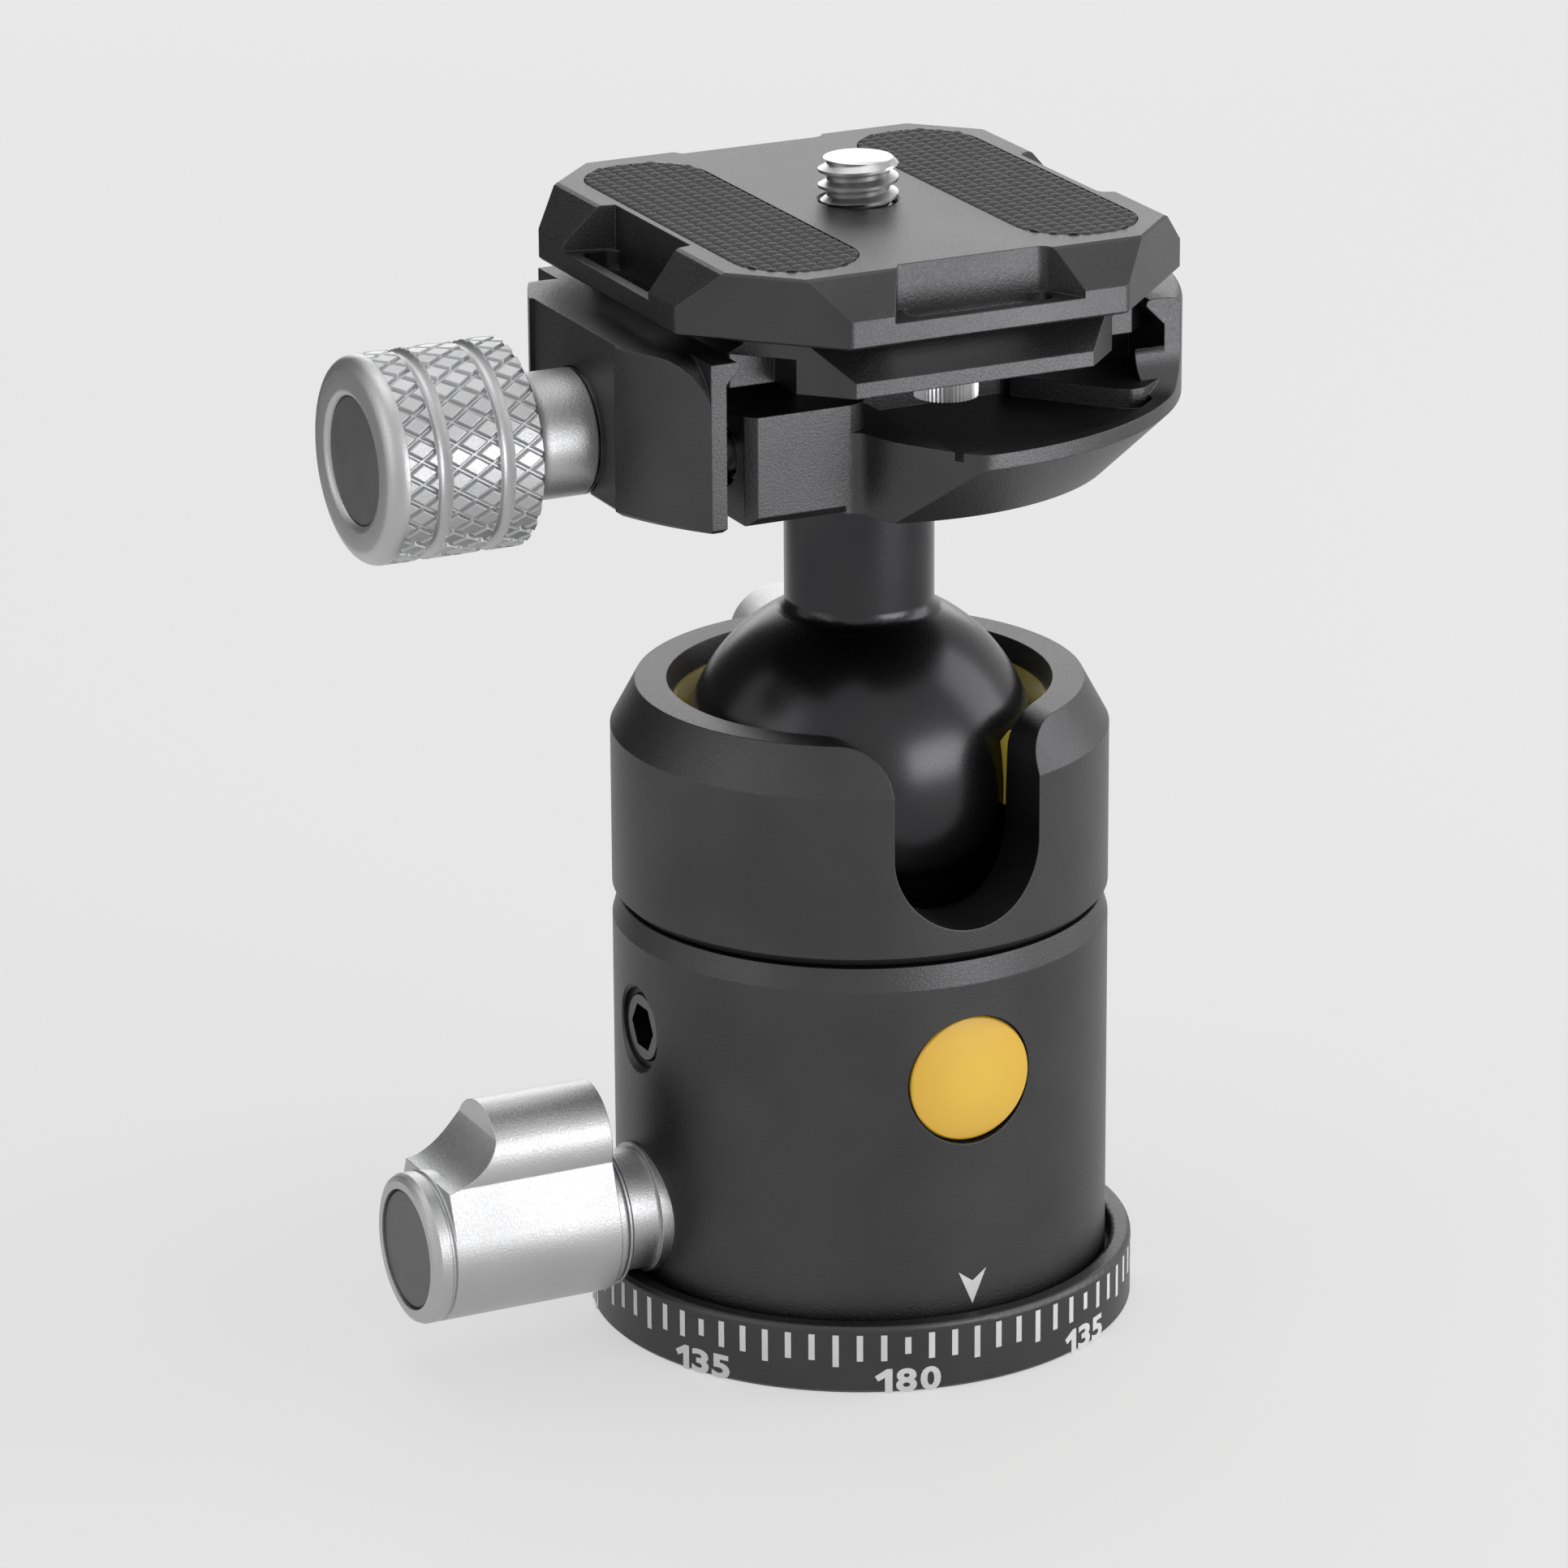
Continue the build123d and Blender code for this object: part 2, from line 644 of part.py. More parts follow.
with BuildPart() as clamp_body:
    spin(
        (0, CLAMP_Z),
        (CLAMP_UNDER_R, CLAMP_Z),
        (CLAMP_R, CLAMP_BAND_Z),
        (CLAMP_R, CLAMP_LIP_Z),
        (0, CLAMP_LIP_Z),
    )
    with BuildSketch(Plane.XY.offset(CLAMP_Z)) as flank:
        with BuildLine():
            curve = Spline(
                (-8.6, -BLOCK_HALF_Y),
                (-7.0, -17.2),
                (-5.2, -20.9),
                (-3.4, -23.6),
                (-0.9, -25.43),
                tangents=((1, 0), (1, 0)),
            )
            Polyline(curve @ 1, (-0.9, -30), (-30, -30), (-30, -BLOCK_HALF_Y), curve @ 0)
        make_face()
        mirror(about=Plane.XZ)
        with Locations((-19.3, 0)):
            Rectangle(21.4, 60)
    extrude(amount=CLAMP_LIP_Z - CLAMP_Z, mode=Mode.SUBTRACT)
    with BuildSketch(Plane.XY.offset(POCKET_Z)) as pocket:
        Circle(CLAMP_R - 1.2)
        with Locations((-14.0, 0)):
            Rectangle(21.0, 60, mode=Mode.SUBTRACT)
    extrude(amount=CLAMP_LIP_Z - POCKET_Z + 0.1, mode=Mode.SUBTRACT)
    with BuildSketch(Plane.XY.offset(CLAMP_LIP_Z - 1)) as block_end:
        with BuildLine():
            wall = ThreePointArc(
                (BLOCK_RIGHT_X, -BLOCK_HALF_Y),
                (BLOCK_RIGHT_X + 1.5, -BLOCK_HALF_Y + 0.9),
                (BLOCK_RIGHT_X + 2.1, -BLOCK_HALF_Y + 2.4),
            )
            Polyline(wall @ 1, (BLOCK_RIGHT_X + 2.1, 0), (BLOCK_RIGHT_X, 0), wall @ 0)
        make_face()
        mirror(about=Plane.XZ)
    extrude(amount=BLOCK_TOP - CLAMP_LIP_Z + 1)
    with BuildSketch(Plane.XY.offset(CLAMP_Z + 1)):
        with Locations((5.0, 0)):
            Rectangle(29.4, 2 * DECK_HALF_Y)
    extrude(amount=DECK_Z - CLAMP_Z - 1)
    with BuildSketch(Plane.XY.offset(POCKET_Z - 1)) as tongue:
        with BuildLine():
            right = Polyline(
                (8.5, -9.5),
                (14.3, -16.4),
                (15.3, -17.1),
                (16.5, -17.0),
                (20.0, -14.2),
                (20.0, 0),
            )
            Line(right @ 1, (8.5, 0))
            Line((8.5, 0), right @ 0)
        make_face()
        fillet(tongue.vertices().sort_by(Axis.Y)[:3], radius=0.8)
        mirror(about=Plane.XZ)
    extrude(amount=TONGUE_Z - POCKET_Z + 1)
    add(fixed_jaw.part)
    with BuildSketch(Plane.YZ.offset(17.0)) as shoulder:
        with BuildLine():
            ThreePointArc(
                (-JAW_HALF_Y, SHOULDER_Z),
                (-JAW_HALF_Y - 0.95, CLAMP_LIP_Z + 0.95),
                (-JAW_HALF_Y - 3.2, CLAMP_LIP_Z),
            )
            Polyline(
                (-JAW_HALF_Y - 3.2, CLAMP_LIP_Z),
                (-JAW_HALF_Y - 3.2, POCKET_Z - 0.5),
                (-JAW_HALF_Y, POCKET_Z - 0.5),
                (-JAW_HALF_Y, SHOULDER_Z),
            )
        make_face()
        mirror(about=Plane.YZ)
    extrude(amount=10)
    spin(
        (0, CLAMP_Z),
        (CLAMP_UNDER_R, CLAMP_Z),
        (CLAMP_R, CLAMP_BAND_Z),
        (CLAMP_R, CLAMP_Z + 20),
        (0, CLAMP_Z + 20),
        mode=Mode.INTERSECT,
    )
    jaw_back = clamp_body.edges().filter_by(GeomType.CIRCLE).group_by(Axis.Z)[-1]
    fillet(jaw_back, radius=0.9)
    add(clamp_block.part)
    with BuildSketch(Plane.XY.offset(CLAMP_Z)):
        Circle(CLAMP_SCREW_R)
    extrude(amount=12, mode=Mode.SUBTRACT)
    with BuildSketch(Plane.XY.offset(77.0)):
        Circle(5.1)
    extrude(amount=6, mode=Mode.SUBTRACT)
    radial_hole(180, SCREW_Z, CLAMP_SCREW_R + RUN_FIT, 6.0, 20.0)
    with BuildSketch(Plane.YZ.offset(BODY_LEFT_X)) as pin_holes:
        with Locations((-PIN_Y, SCREW_Z), (PIN_Y, SCREW_Z)):
            Circle(PIN_R)
    extrude(amount=7.3, mode=Mode.SUBTRACT)
    with BuildSketch(Plane.YZ.offset(BODY_LEFT_X)) as spring_holes:
        with Locations((-PIN_Y, SCREW_Z), (PIN_Y, SCREW_Z)):
            Circle(2.6)
    extrude(amount=5.0, mode=Mode.SUBTRACT)

with BuildPart() as clamp_mount_screw:
    spin(
        (0, CLAMP_Z - 13.5),
        (CLAMP_SCREW_R, CLAMP_Z - 13.5),
        (CLAMP_SCREW_R, 77.0),
        (5.0, 77.0),
        (5.0, 81.0),
        (0, 81.0),
    )
    with BuildSketch(Plane.XY.offset(78.6)):
        RegularPolygon(2.9, 6)
    extrude(amount=3.0, mode=Mode.SUBTRACT)

with BuildPart() as guide_pins:
    with BuildSketch(Plane.YZ.offset(-PIN_TIP)):
        with Locations((-PIN_Y, SCREW_Z), (PIN_Y, SCREW_Z)):
            Circle(PIN_R)
    extrude(amount=PIN_TIP + BODY_LEFT_X + 7.3)


def coil(y):
    """A return spring round a guide pin, in its pocket of the clamp body."""
    start = (BODY_LEFT_X + 0.4, y, SCREW_Z)
    with BuildPart() as spring:
        with BuildLine() as wire:
            Helix(pitch=1.05, height=4.2, radius=2.05, center=start, direction=(1, 0, 0))
        with BuildSketch(wire.line ^ 0) as section:
            Circle(0.3)
        sweep(section.sketch, path=wire.line, is_frenet=True)
    return spring


with BuildPart() as jaw_springs:
    for spring_y in (-PIN_Y, PIN_Y):
        add(coil(spring_y).part)

# The sliding jaw faces the fixed one, so its blank is mirrored.
moving_size = (MOVING_JAW_Z, MOVING_JAW_TOP, MOVING_JAW_HALF_Y, MOVING_JAW_SHIFT)
moving_blank = jaw_blank(MOVING_JAW_WALL_X, *moving_size)

with BuildPart() as moving_jaw:
    add(mirror(moving_blank.part, about=Plane.YZ, mode=Mode.PRIVATE))
    with BuildSketch(Plane.XY.offset(MOVING_JAW_Z)):
        with Locations((-MOVING_JAW_FLAT_X - 2, 0)):
            Rectangle(4, 2 * MOVING_JAW_FLAT_Y)
    extrude(amount=14, mode=Mode.SUBTRACT)
    low_rim = moving_jaw.faces().sort_by(Axis.Z)[0].edges()
    chamfer(low_rim, length=0.3)
    corner_y = MOVING_JAW_HALF_Y - JAW_CORNER_R
    corner_z = MOVING_JAW_TOP - JAW_CORNER_R
    with BuildSketch(Plane.YZ.offset(-27.0)) as corner:
        with Locations(
            (-corner_y - JAW_CORNER_R / 2 - 1, corner_z + JAW_CORNER_R / 2 + 1),
            (corner_y + JAW_CORNER_R / 2 + 1, corner_z + JAW_CORNER_R / 2 + 1),
        ):
            Rectangle(JAW_CORNER_R + 2, JAW_CORNER_R + 2)
        with Locations((-corner_y, corner_z), (corner_y, corner_z)):
            Circle(JAW_CORNER_R, mode=Mode.SUBTRACT)
    extrude(amount=27.0 - 20.4, mode=Mode.SUBTRACT)
    with BuildSketch(Plane.YZ.offset(-PIN_TIP - 0.3)):
        with Locations((-PIN_Y, SCREW_Z), (PIN_Y, SCREW_Z)):
            Circle(PIN_R + RUN_FIT)
    extrude(amount=PIN_TIP + 0.3 - 18.0, mode=Mode.SUBTRACT)
    radial_hole(180, SCREW_Z, CLAMP_SCREW_R + 0.1, 18.0, 26.0)
    radial_hole(180, SCREW_Z, 5.1, 23.9, 26.0)

jaw_washer = turned_radial(180, SCREW_Z, (23.9, 3.1), (23.9, 5.0), (24.6, 5.0), (24.6, 3.1))

clamp_screw = turned_radial(
    180,
    SCREW_Z,
    (7.0, 0),
    (7.0, 2.5),
    (7.5, CLAMP_SCREW_R),
    (38.5, CLAMP_SCREW_R),
    (38.5, 4.3),
    (42.0, 4.3),
    (42.0, 0),
)

with BuildPart() as clamp_knob:
    with BuildSketch(side_plane(180, SCREW_Z)):
        with BuildLine():
            profile = Polyline(
                (28.9, KNOB_NECK_R),
                (24.7, KNOB_NECK_R),
                (24.7, CLAMP_SCREW_R),
                (38.5, CLAMP_SCREW_R),
                (38.5, 4.3),
                (42.2, 4.3),
                (42.2, 5.05),
                (KNOB_NOSE, 5.05),
                (KNOB_NOSE, 6.5),
            )
            ThreePointArc(profile @ 1, (42.9, 7.75), (42.0, KNURL_R))
            knurl = Polyline(
                (42.0, KNURL_R),
                (39.7, KNURL_R),
                (39.5, KNURL_GROOVE_R),
                (38.6, KNURL_GROOVE_R),
                (38.4, KNURL_R),
                (34.4, KNURL_R),
                (34.2, KNURL_GROOVE_R),
                (33.4, KNURL_GROOVE_R),
                (33.2, KNURL_R),
                (30.8, KNURL_R),
                (30.4, 7.6),
            )
            ThreePointArc(knurl @ 1, (29.7, 5.7), profile @ 0)
        make_face()
    revolve(axis=Axis((0, 0, SCREW_Z), (-1, 0, 0)))

clamp_knob_cap = turned_radial(180, SCREW_Z, (42.2, 0), (42.2, 5.0), (42.9, 5.0), (43.0, 4.9), (43.0, 0))


# ==== quick release plate ====
def strap_cut(plane_x, inner, rail, half_inner, half_outer):
    """Cut one strap slot: a flared notch over the edge band, and a slot behind the rail."""
    outer = rail + 2.2
    with BuildSketch(Plane(origin=(0, 0, STRAP_FLOOR), x_dir=plane_x, z_dir=(0, 0, 1))) as flare:
        with BuildLine():
            Polyline(
                (inner, -half_inner),
                (outer, -half_outer),
                (outer, half_outer),
                (inner, half_inner),
                close=True,
            )
        make_face()
        inner_corners = flare.vertices().sort_by(Axis.X if plane_x[0] else Axis.Y)
        nearest = inner_corners[:2] if sum(plane_x) > 0 else inner_corners[-2:]
        fillet(nearest, radius=STRAP_CORNER_R)
    extrude(flare.sketch, amount=5, mode=Mode.SUBTRACT)
    with BuildSketch(Plane(origin=(0, 0, PLATE_Z - 1), x_dir=plane_x, z_dir=(0, 0, 1))) as slot:
        with Locations(((inner + rail) / 2, 0)):
            RectangleRounded(rail - inner, 2 * half_inner, STRAP_CORNER_R)
    extrude(slot.sketch, amount=5, mode=Mode.SUBTRACT)


with BuildPart() as release_plate:
    with BuildSketch(Plane.XY.offset(PLATE_Z)):
        Rectangle(2 * PLATE_HALF_X, 2 * PLATE_HALF_Y)
    extrude(amount=PLATE_BAND_TOP - PLATE_Z)
    with BuildSketch(Plane.XY.offset(PLATE_BAND_TOP)):
        Rectangle(2 * PLATE_HALF_X, 2 * PLATE_HALF_Y)
    with BuildSketch(Plane.XY.offset(PLATE_TOP)):
        Rectangle(2 * PLATE_TOP_HALF_X, 2 * PLATE_TOP_HALF_Y)
    loft()
    with BuildSketch(Plane.XY.offset(PLATE_Z)):
        Rectangle(PLATE_CORNER * 2**0.5, PLATE_CORNER * 2**0.5, rotation=45)
    extrude(amount=10, mode=Mode.INTERSECT)
    uprights = release_plate.edges().filter_by(Axis.Z).filter_by_position(Axis.Z, 87.5, 88.5)
    fillet(uprights, radius=0.8)
    chamfer(release_plate.faces().sort_by(Axis.Z)[0].edges(), length=0.2)
    chamfer(release_plate.faces().sort_by(Axis.Z)[-1].edges(), length=0.2)
    strap_cut((1, 0, 0), *SIDE_STRAP)
    strap_cut((-1, 0, 0), *SIDE_STRAP)
    strap_cut((0, 1, 0), *END_STRAP)
    strap_cut((0, -1, 0), *END_STRAP)
    with BuildSketch(Plane.XZ) as dovetail:
        with BuildLine():
            Polyline(
                (-FOOT_HALF_X, FOOT_Z),
                (FOOT_HALF_X, FOOT_Z),
                (FOOT_HALF_X, FOOT_BAND_TOP),
                (NECK_HALF_X, FOOT_BAND_TOP + FOOT_HALF_X - NECK_HALF_X),
                (NECK_HALF_X, PLATE_Z),
                (-NECK_HALF_X, PLATE_Z),
                (-NECK_HALF_X, FOOT_BAND_TOP + FOOT_HALF_X - NECK_HALF_X),
                (-FOOT_HALF_X, FOOT_BAND_TOP),
                close=True,
            )
        make_face()
    extrude(amount=FOOT_HALF_Y, both=True)
    with BuildSketch(Plane.XY.offset(FOOT_Z)) as foot_corners:
        Rectangle(60, 60)
        with BuildLine():
            Polyline(
                (-FOOT_HALF_X, FOOT_HALF_X - FOOT_CORNER),
                (FOOT_HALF_Y - FOOT_CORNER, -FOOT_HALF_Y),
                (FOOT_CORNER - FOOT_HALF_Y, -FOOT_HALF_Y),
                (FOOT_HALF_X, FOOT_HALF_X - FOOT_CORNER),
                (FOOT_HALF_X, FOOT_CORNER - FOOT_HALF_X),
                (FOOT_CORNER - FOOT_HALF_Y, FOOT_HALF_Y),
                (FOOT_HALF_Y - FOOT_CORNER, FOOT_HALF_Y),
                (-FOOT_HALF_X, FOOT_CORNER - FOOT_HALF_X),
                close=True,
            )
        make_face(mode=Mode.SUBTRACT)
    extrude(amount=PLATE_Z - FOOT_Z, mode=Mode.SUBTRACT)
    with BuildSketch(Plane.XY.offset(FOOT_Z)) as corner_reliefs:
        Rectangle(60, 60)
        Rectangle(2 * RELIEF_X, 60, mode=Mode.SUBTRACT)
        Rectangle(60, 2 * RELIEF_Y, mode=Mode.SUBTRACT)
    extrude(amount=RELIEF_TOP - FOOT_Z, mode=Mode.SUBTRACT)
    with BuildSketch(Plane.YZ) as end_flank:
        with BuildLine():
            Polyline(
                (FOOT_HALF_Y, FOOT_BAND_TOP),
                (FOOT_HALF_Y - PLATE_Z + FOOT_BAND_TOP + 0.3, PLATE_Z - 0.3),
                (FOOT_HALF_Y - PLATE_Z + FOOT_BAND_TOP + 0.3, PLATE_Z),
                (FOOT_HALF_Y + 5, PLATE_Z),
                (FOOT_HALF_Y + 5, FOOT_BAND_TOP),
                close=True,
            )
        make_face()
        mirror(about=Plane.YZ)
    extrude(amount=FOOT_HALF_X + 1, both=True, mode=Mode.SUBTRACT)
    with BuildSketch(Plane.XY.offset(PLATE_TOP)):
        with Locations((-PAD_X, 0), (PAD_X, 0)):
            SlotOverall(PAD_LENGTH, PAD_WIDTH, rotation=90)
    extrude(amount=-0.8, mode=Mode.SUBTRACT)
    with BuildSketch(Plane.XY.offset(FOOT_Z)):
        Circle(8.0)
    extrude(amount=3.7, mode=Mode.SUBTRACT)
    with BuildSketch(Plane.XY.offset(FOOT_Z)):
        Circle(CAMERA_SLEEVE_R + 0.1)
    extrude(amount=12, mode=Mode.SUBTRACT)
    spin(
        (0, PLATE_TOP - 0.2),
        (CAMERA_SLEEVE_R + 0.1, PLATE_TOP - 0.2),
        (CAMERA_SLEEVE_R + 0.35, PLATE_TOP + 0.05),
        (0, PLATE_TOP + 0.05),
        mode=Mode.SUBTRACT,
    )
    with BuildSketch(Plane.XY.offset(87.6)):
        Circle(4.2)
    extrude(amount=0.8, mode=Mode.SUBTRACT)
    with BuildSketch(Plane.XY.offset(FOOT_Z)):
        with Locations((0, -STOP_Y), (0, STOP_Y)):
            Circle(1.5)
    extrude(amount=4.0, mode=Mode.SUBTRACT)


def plate_pad(x):
    """One rubber pad, set in its pocket and a little proud of the plate."""
    with BuildPart() as pad:
        with BuildSketch(Plane.XY.offset(PLATE_TOP - 0.8)) as outline:
            with Locations((x, 0)):
                SlotOverall(PAD_LENGTH - 0.2, PAD_WIDTH - 0.2, rotation=90)
        extrude(outline.sketch, amount=1.0)
    return pad


plate_pad_left = plate_pad(-PAD_X)
plate_pad_right = plate_pad(PAD_X)

with BuildPart() as stop_screws:
    with BuildSketch(Plane.XY.offset(STOP_Z)):
        with Locations((0, -STOP_Y), (0, STOP_Y)):
            Circle(STOP_R)
            Circle(1.1, mode=Mode.SUBTRACT)
    extrude(amount=FOOT_Z - STOP_Z)
    with BuildSketch(Plane.XY.offset(STOP_Z + 1.2)):
        with Locations((0, -STOP_Y), (0, STOP_Y)):
            Circle(1.5)
    extrude(amount=4.4)

with BuildPart() as camera_screw:
    spin(
        (0, 82.5),
        (7.6, 82.5),
        (7.6, 85.4),
        (CAMERA_SLEEVE_R, 85.4),
        (CAMERA_SLEEVE_R, 86.6),
        (2.5, 86.8),
        (2.5, 89.6),
        (CAMERA_SLEEVE_R, 89.8),
        (CAMERA_SLEEVE_R, PLATE_TOP + 0.1),
        (CAMERA_SCREW_R, PLATE_TOP + 0.1),
        (CAMERA_SCREW_R, CAMERA_SCREW_TOP - 0.4),
        (2.7, CAMERA_SCREW_TOP),
        (0, CAMERA_SCREW_TOP),
    )
    with BuildSketch(Plane.XY.offset(82.5)):
        Rectangle(16, 1.8)
    extrude(amount=1.4, mode=Mode.SUBTRACT)

with BuildPart() as screw_clip:
    spin((2.7, 87.65), (4.2, 87.65), (4.2, 88.35), (2.7, 88.35))
    with BuildSketch(Plane.XY.offset(87.6)):
        with Locations((3.5, 0)):
            Rectangle(3.0, 1.6)
    extrude(amount=1.0, mode=Mode.SUBTRACT)

# ==== pan lock ====
PAN_BARREL_R = 6.1
PAN_TIP_RISE = 7.1

pan_knob = wing_knob(PAN_ANGLE, PAN_Z, PAN_BARREL_R, PAN_TIP_RISE, (35.6, 7.2), PAN_SCREW_R)
pan_knob_cap = knob_cap(PAN_ANGLE, PAN_Z, PAN_BARREL_R)

with BuildPart() as pan_screw:
    knob_screw(PAN_ANGLE, PAN_Z, 15.1, PAN_SCREW_R)

pan_shoe = turned_radial(PAN_ANGLE, PAN_Z, (12.3, 0), (12.3, 2.45), (15.0, 2.45), (15.0, 0))

# ==== write every piece ====
pieces = {
    "base_dial": base_dial,
    "thread_insert": thread_insert,
    "pan_spindle": pan_spindle,
    "base_screws": base_screws,
    "thrust_washer": thrust_washer,
    "retaining_washer": retaining_washer,
    "retaining_nut": retaining_nut,
    "lower_housing": lower_housing,
    "upper_housing": upper_housing,
    "seat_liner": seat_liner,
    "lock_bushing": lock_bushing,
    "pan_bushing": pan_bushing,
    "housing_set_screw": housing_set_screw,
    "badge": badge,
    "lock_shaft": lock_shaft,
    "lock_knob": lock_knob,
    "lock_knob_cap": lock_knob_cap,
    "lock_knob_screw": lock_knob_screw,
    "pressure_plate": pressure_plate,
    "lower_seat": lower_seat,
    "ball_stem": ball_stem,
    "clamp_body": clamp_body,
    "clamp_mount_screw": clamp_mount_screw,
    "guide_pins": guide_pins,
    "jaw_springs": jaw_springs,
    "moving_jaw": moving_jaw,
    "jaw_washer": jaw_washer,
    "clamp_screw": clamp_screw,
    "clamp_knob": clamp_knob,
    "clamp_knob_cap": clamp_knob_cap,
    "release_plate": release_plate,
    "plate_pad_left": plate_pad_left,
    "plate_pad_right": plate_pad_right,
    "stop_screws": stop_screws,
    "camera_screw": camera_screw,
    "screw_clip": screw_clip,
    "pan_knob": pan_knob,
    "pan_knob_cap": pan_knob_cap,
    "pan_screw": pan_screw,
    "pan_shoe": pan_shoe,
}

os.makedirs("parts", exist_ok=True)
for name, piece in pieces.items():
    piece.part.label = name
    export_step(piece.part, f"parts/{name}.step")
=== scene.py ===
"""Looks of the tripod ball head: finishes, knurls, threads, rubber pads, dial markings and the studio.

Every size is in millimetres and is turned to metres by MM. +Z is up, -Y is the front with the
drop notch and the badge, and -X is the side of the pan knob and the clamp knob.
"""

from __future__ import annotations

import json
import logging
import math
from collections.abc import Callable, Iterable
from dataclasses import dataclass
from enum import Enum

import bmesh
import bpy
from mathutils import Matrix, Vector

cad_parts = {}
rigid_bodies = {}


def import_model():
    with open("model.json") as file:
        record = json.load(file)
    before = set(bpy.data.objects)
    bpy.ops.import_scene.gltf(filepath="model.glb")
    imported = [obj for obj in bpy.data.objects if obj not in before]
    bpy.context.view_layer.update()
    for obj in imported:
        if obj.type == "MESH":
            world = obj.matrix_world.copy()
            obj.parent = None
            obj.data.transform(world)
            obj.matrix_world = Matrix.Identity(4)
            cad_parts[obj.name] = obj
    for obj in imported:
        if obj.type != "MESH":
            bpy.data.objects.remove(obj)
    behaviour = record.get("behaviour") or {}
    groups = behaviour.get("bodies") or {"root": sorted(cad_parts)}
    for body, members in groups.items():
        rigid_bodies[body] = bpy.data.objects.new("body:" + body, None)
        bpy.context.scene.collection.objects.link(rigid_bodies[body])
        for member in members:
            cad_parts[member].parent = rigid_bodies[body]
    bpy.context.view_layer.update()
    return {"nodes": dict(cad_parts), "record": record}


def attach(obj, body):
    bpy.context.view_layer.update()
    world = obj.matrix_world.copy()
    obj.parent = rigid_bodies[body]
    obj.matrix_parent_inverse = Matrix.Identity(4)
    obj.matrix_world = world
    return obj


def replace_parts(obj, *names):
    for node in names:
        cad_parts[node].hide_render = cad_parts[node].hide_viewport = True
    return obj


MM = 0.001
LOG = logging.getLogger("ball_head")

# How far the ball head's parts reach, as on the solids.
DIAL_RADIUS = 22.1
HOUSING_RADIUS = 20.0
CLAMP_SCREW_HEIGHT = 76.5
PLATE_TOP = 92.15


class Slot(Enum):
    """The finishes that the record names."""

    BLACK_ANODISED = "black_anodised"
    SILVER_ANODISED = "silver_anodised"
    BALL_BLACK = "ball_black"
    CAP_GREY = "cap_grey"
    LINER_YELLOW = "liner_yellow"
    SEAT_BLACK = "seat_black"
    BADGE_AMBER = "badge_amber"
    RUBBER_BLACK = "rubber_black"
    STEEL_BRIGHT = "steel_bright"
    STEEL_BLACK = "steel_black"
    BRASS = "brass"
    WHITE = "matte_white"


class Turn(Enum):
    """The axis that a turned part was spun about in the lathe, as the angles that lay it along Z."""

    UPRIGHT = (0.0, 0.0, 0.0)
    SIDEWAYS = (0.0, math.radians(90), 0.0)


# ---- colour and nodes ----


def linear(hex_colour: str) -> tuple[float, float, float, float]:
    """Turns an sRGB colour to linear light.

    Args:
        hex_colour: six hex digits, as in "C8C8CA".

    Returns:
        Red, green, blue and an alpha of 1.
    """
    channels = []
    for start in (0, 2, 4):
        value = int(hex_colour[start : start + 2], 16) / 255
        channels.append(value / 12.92 if value <= 0.04045 else ((value + 0.055) / 1.055) ** 2.4)
    return (*channels, 1.0)


def add_node(
    tree: bpy.types.NodeTree, kind: str, inputs: dict[str | int, object] | None = None, **settings: object
) -> bpy.types.Node:
    """Adds a node with its settings, socket values and links.

    Args:
        tree: the node tree that gets it.
        kind: the node's type name, as in "ShaderNodeBump".
        inputs: socket name or number to a value, or to the output socket that feeds it.
        **settings: the node's own properties.

    Returns:
        The new node.
    """
    made = tree.nodes.new(kind)
    for name, value in settings.items():
        setattr(made, name, value)
    for key, value in (inputs or {}).items():
        if isinstance(value, bpy.types.NodeSocket):
            tree.links.new(value, made.inputs[key])
        else:
            made.inputs[key].default_value = value
    return made


def new_material(name: str) -> tuple[bpy.types.Material, bpy.types.NodeTree]:
    """Makes an empty node material and returns it with its tree."""
    material = bpy.data.materials.new(name)
    material.use_nodes = True
    material.node_tree.nodes.clear()
    return material, material.node_tree


def noise(
    tree: bpy.types.NodeTree, place: bpy.types.NodeSocket, grain_mm: float, detail: float = 2.0
) -> bpy.types.NodeSocket:
    """Gives a noise whose blotches are about grain_mm wide.

    Args:
        tree: the material's node tree.
        place: the coordinates that it reads.
        grain_mm: the width of one blotch.
        detail: how many finer layers lie on it.

    Returns:
        The noise's value, from 0 to 1.
    """
    made = add_node(
        tree, "ShaderNodeTexNoise", {"Vector": place, "Scale": 1 / (grain_mm * MM), "Detail": detail}
    )
    return made.outputs["Fac"]


def spread(
    tree: bpy.types.NodeTree, value: bpy.types.NodeSocket, low: float, high: float
) -> bpy.types.NodeSocket:
    """Maps the middle of a noise, 0.3 to 0.7, to the range low to high."""
    made = add_node(
        tree,
        "ShaderNodeMapRange",
        {"Value": value, "From Min": 0.3, "From Max": 0.7, "To Min": low, "To Max": high},
    )
    return made.outputs["Result"]


def mixed_colour(
    tree: bpy.types.NodeTree, value: bpy.types.NodeSocket, dark: str, light: str
) -> bpy.types.NodeSocket:
    """Mixes two sRGB colours by a value through a colour ramp and gives the colour socket."""
    ramp = add_node(tree, "ShaderNodeValToRGB", {"Fac": value})
    ramp.color_ramp.elements[0].color = linear(dark)
    ramp.color_ramp.elements[0].position = 0.3
    ramp.color_ramp.elements[1].color = linear(light)
    ramp.color_ramp.elements[1].position = 0.7
    return ramp.outputs["Color"]


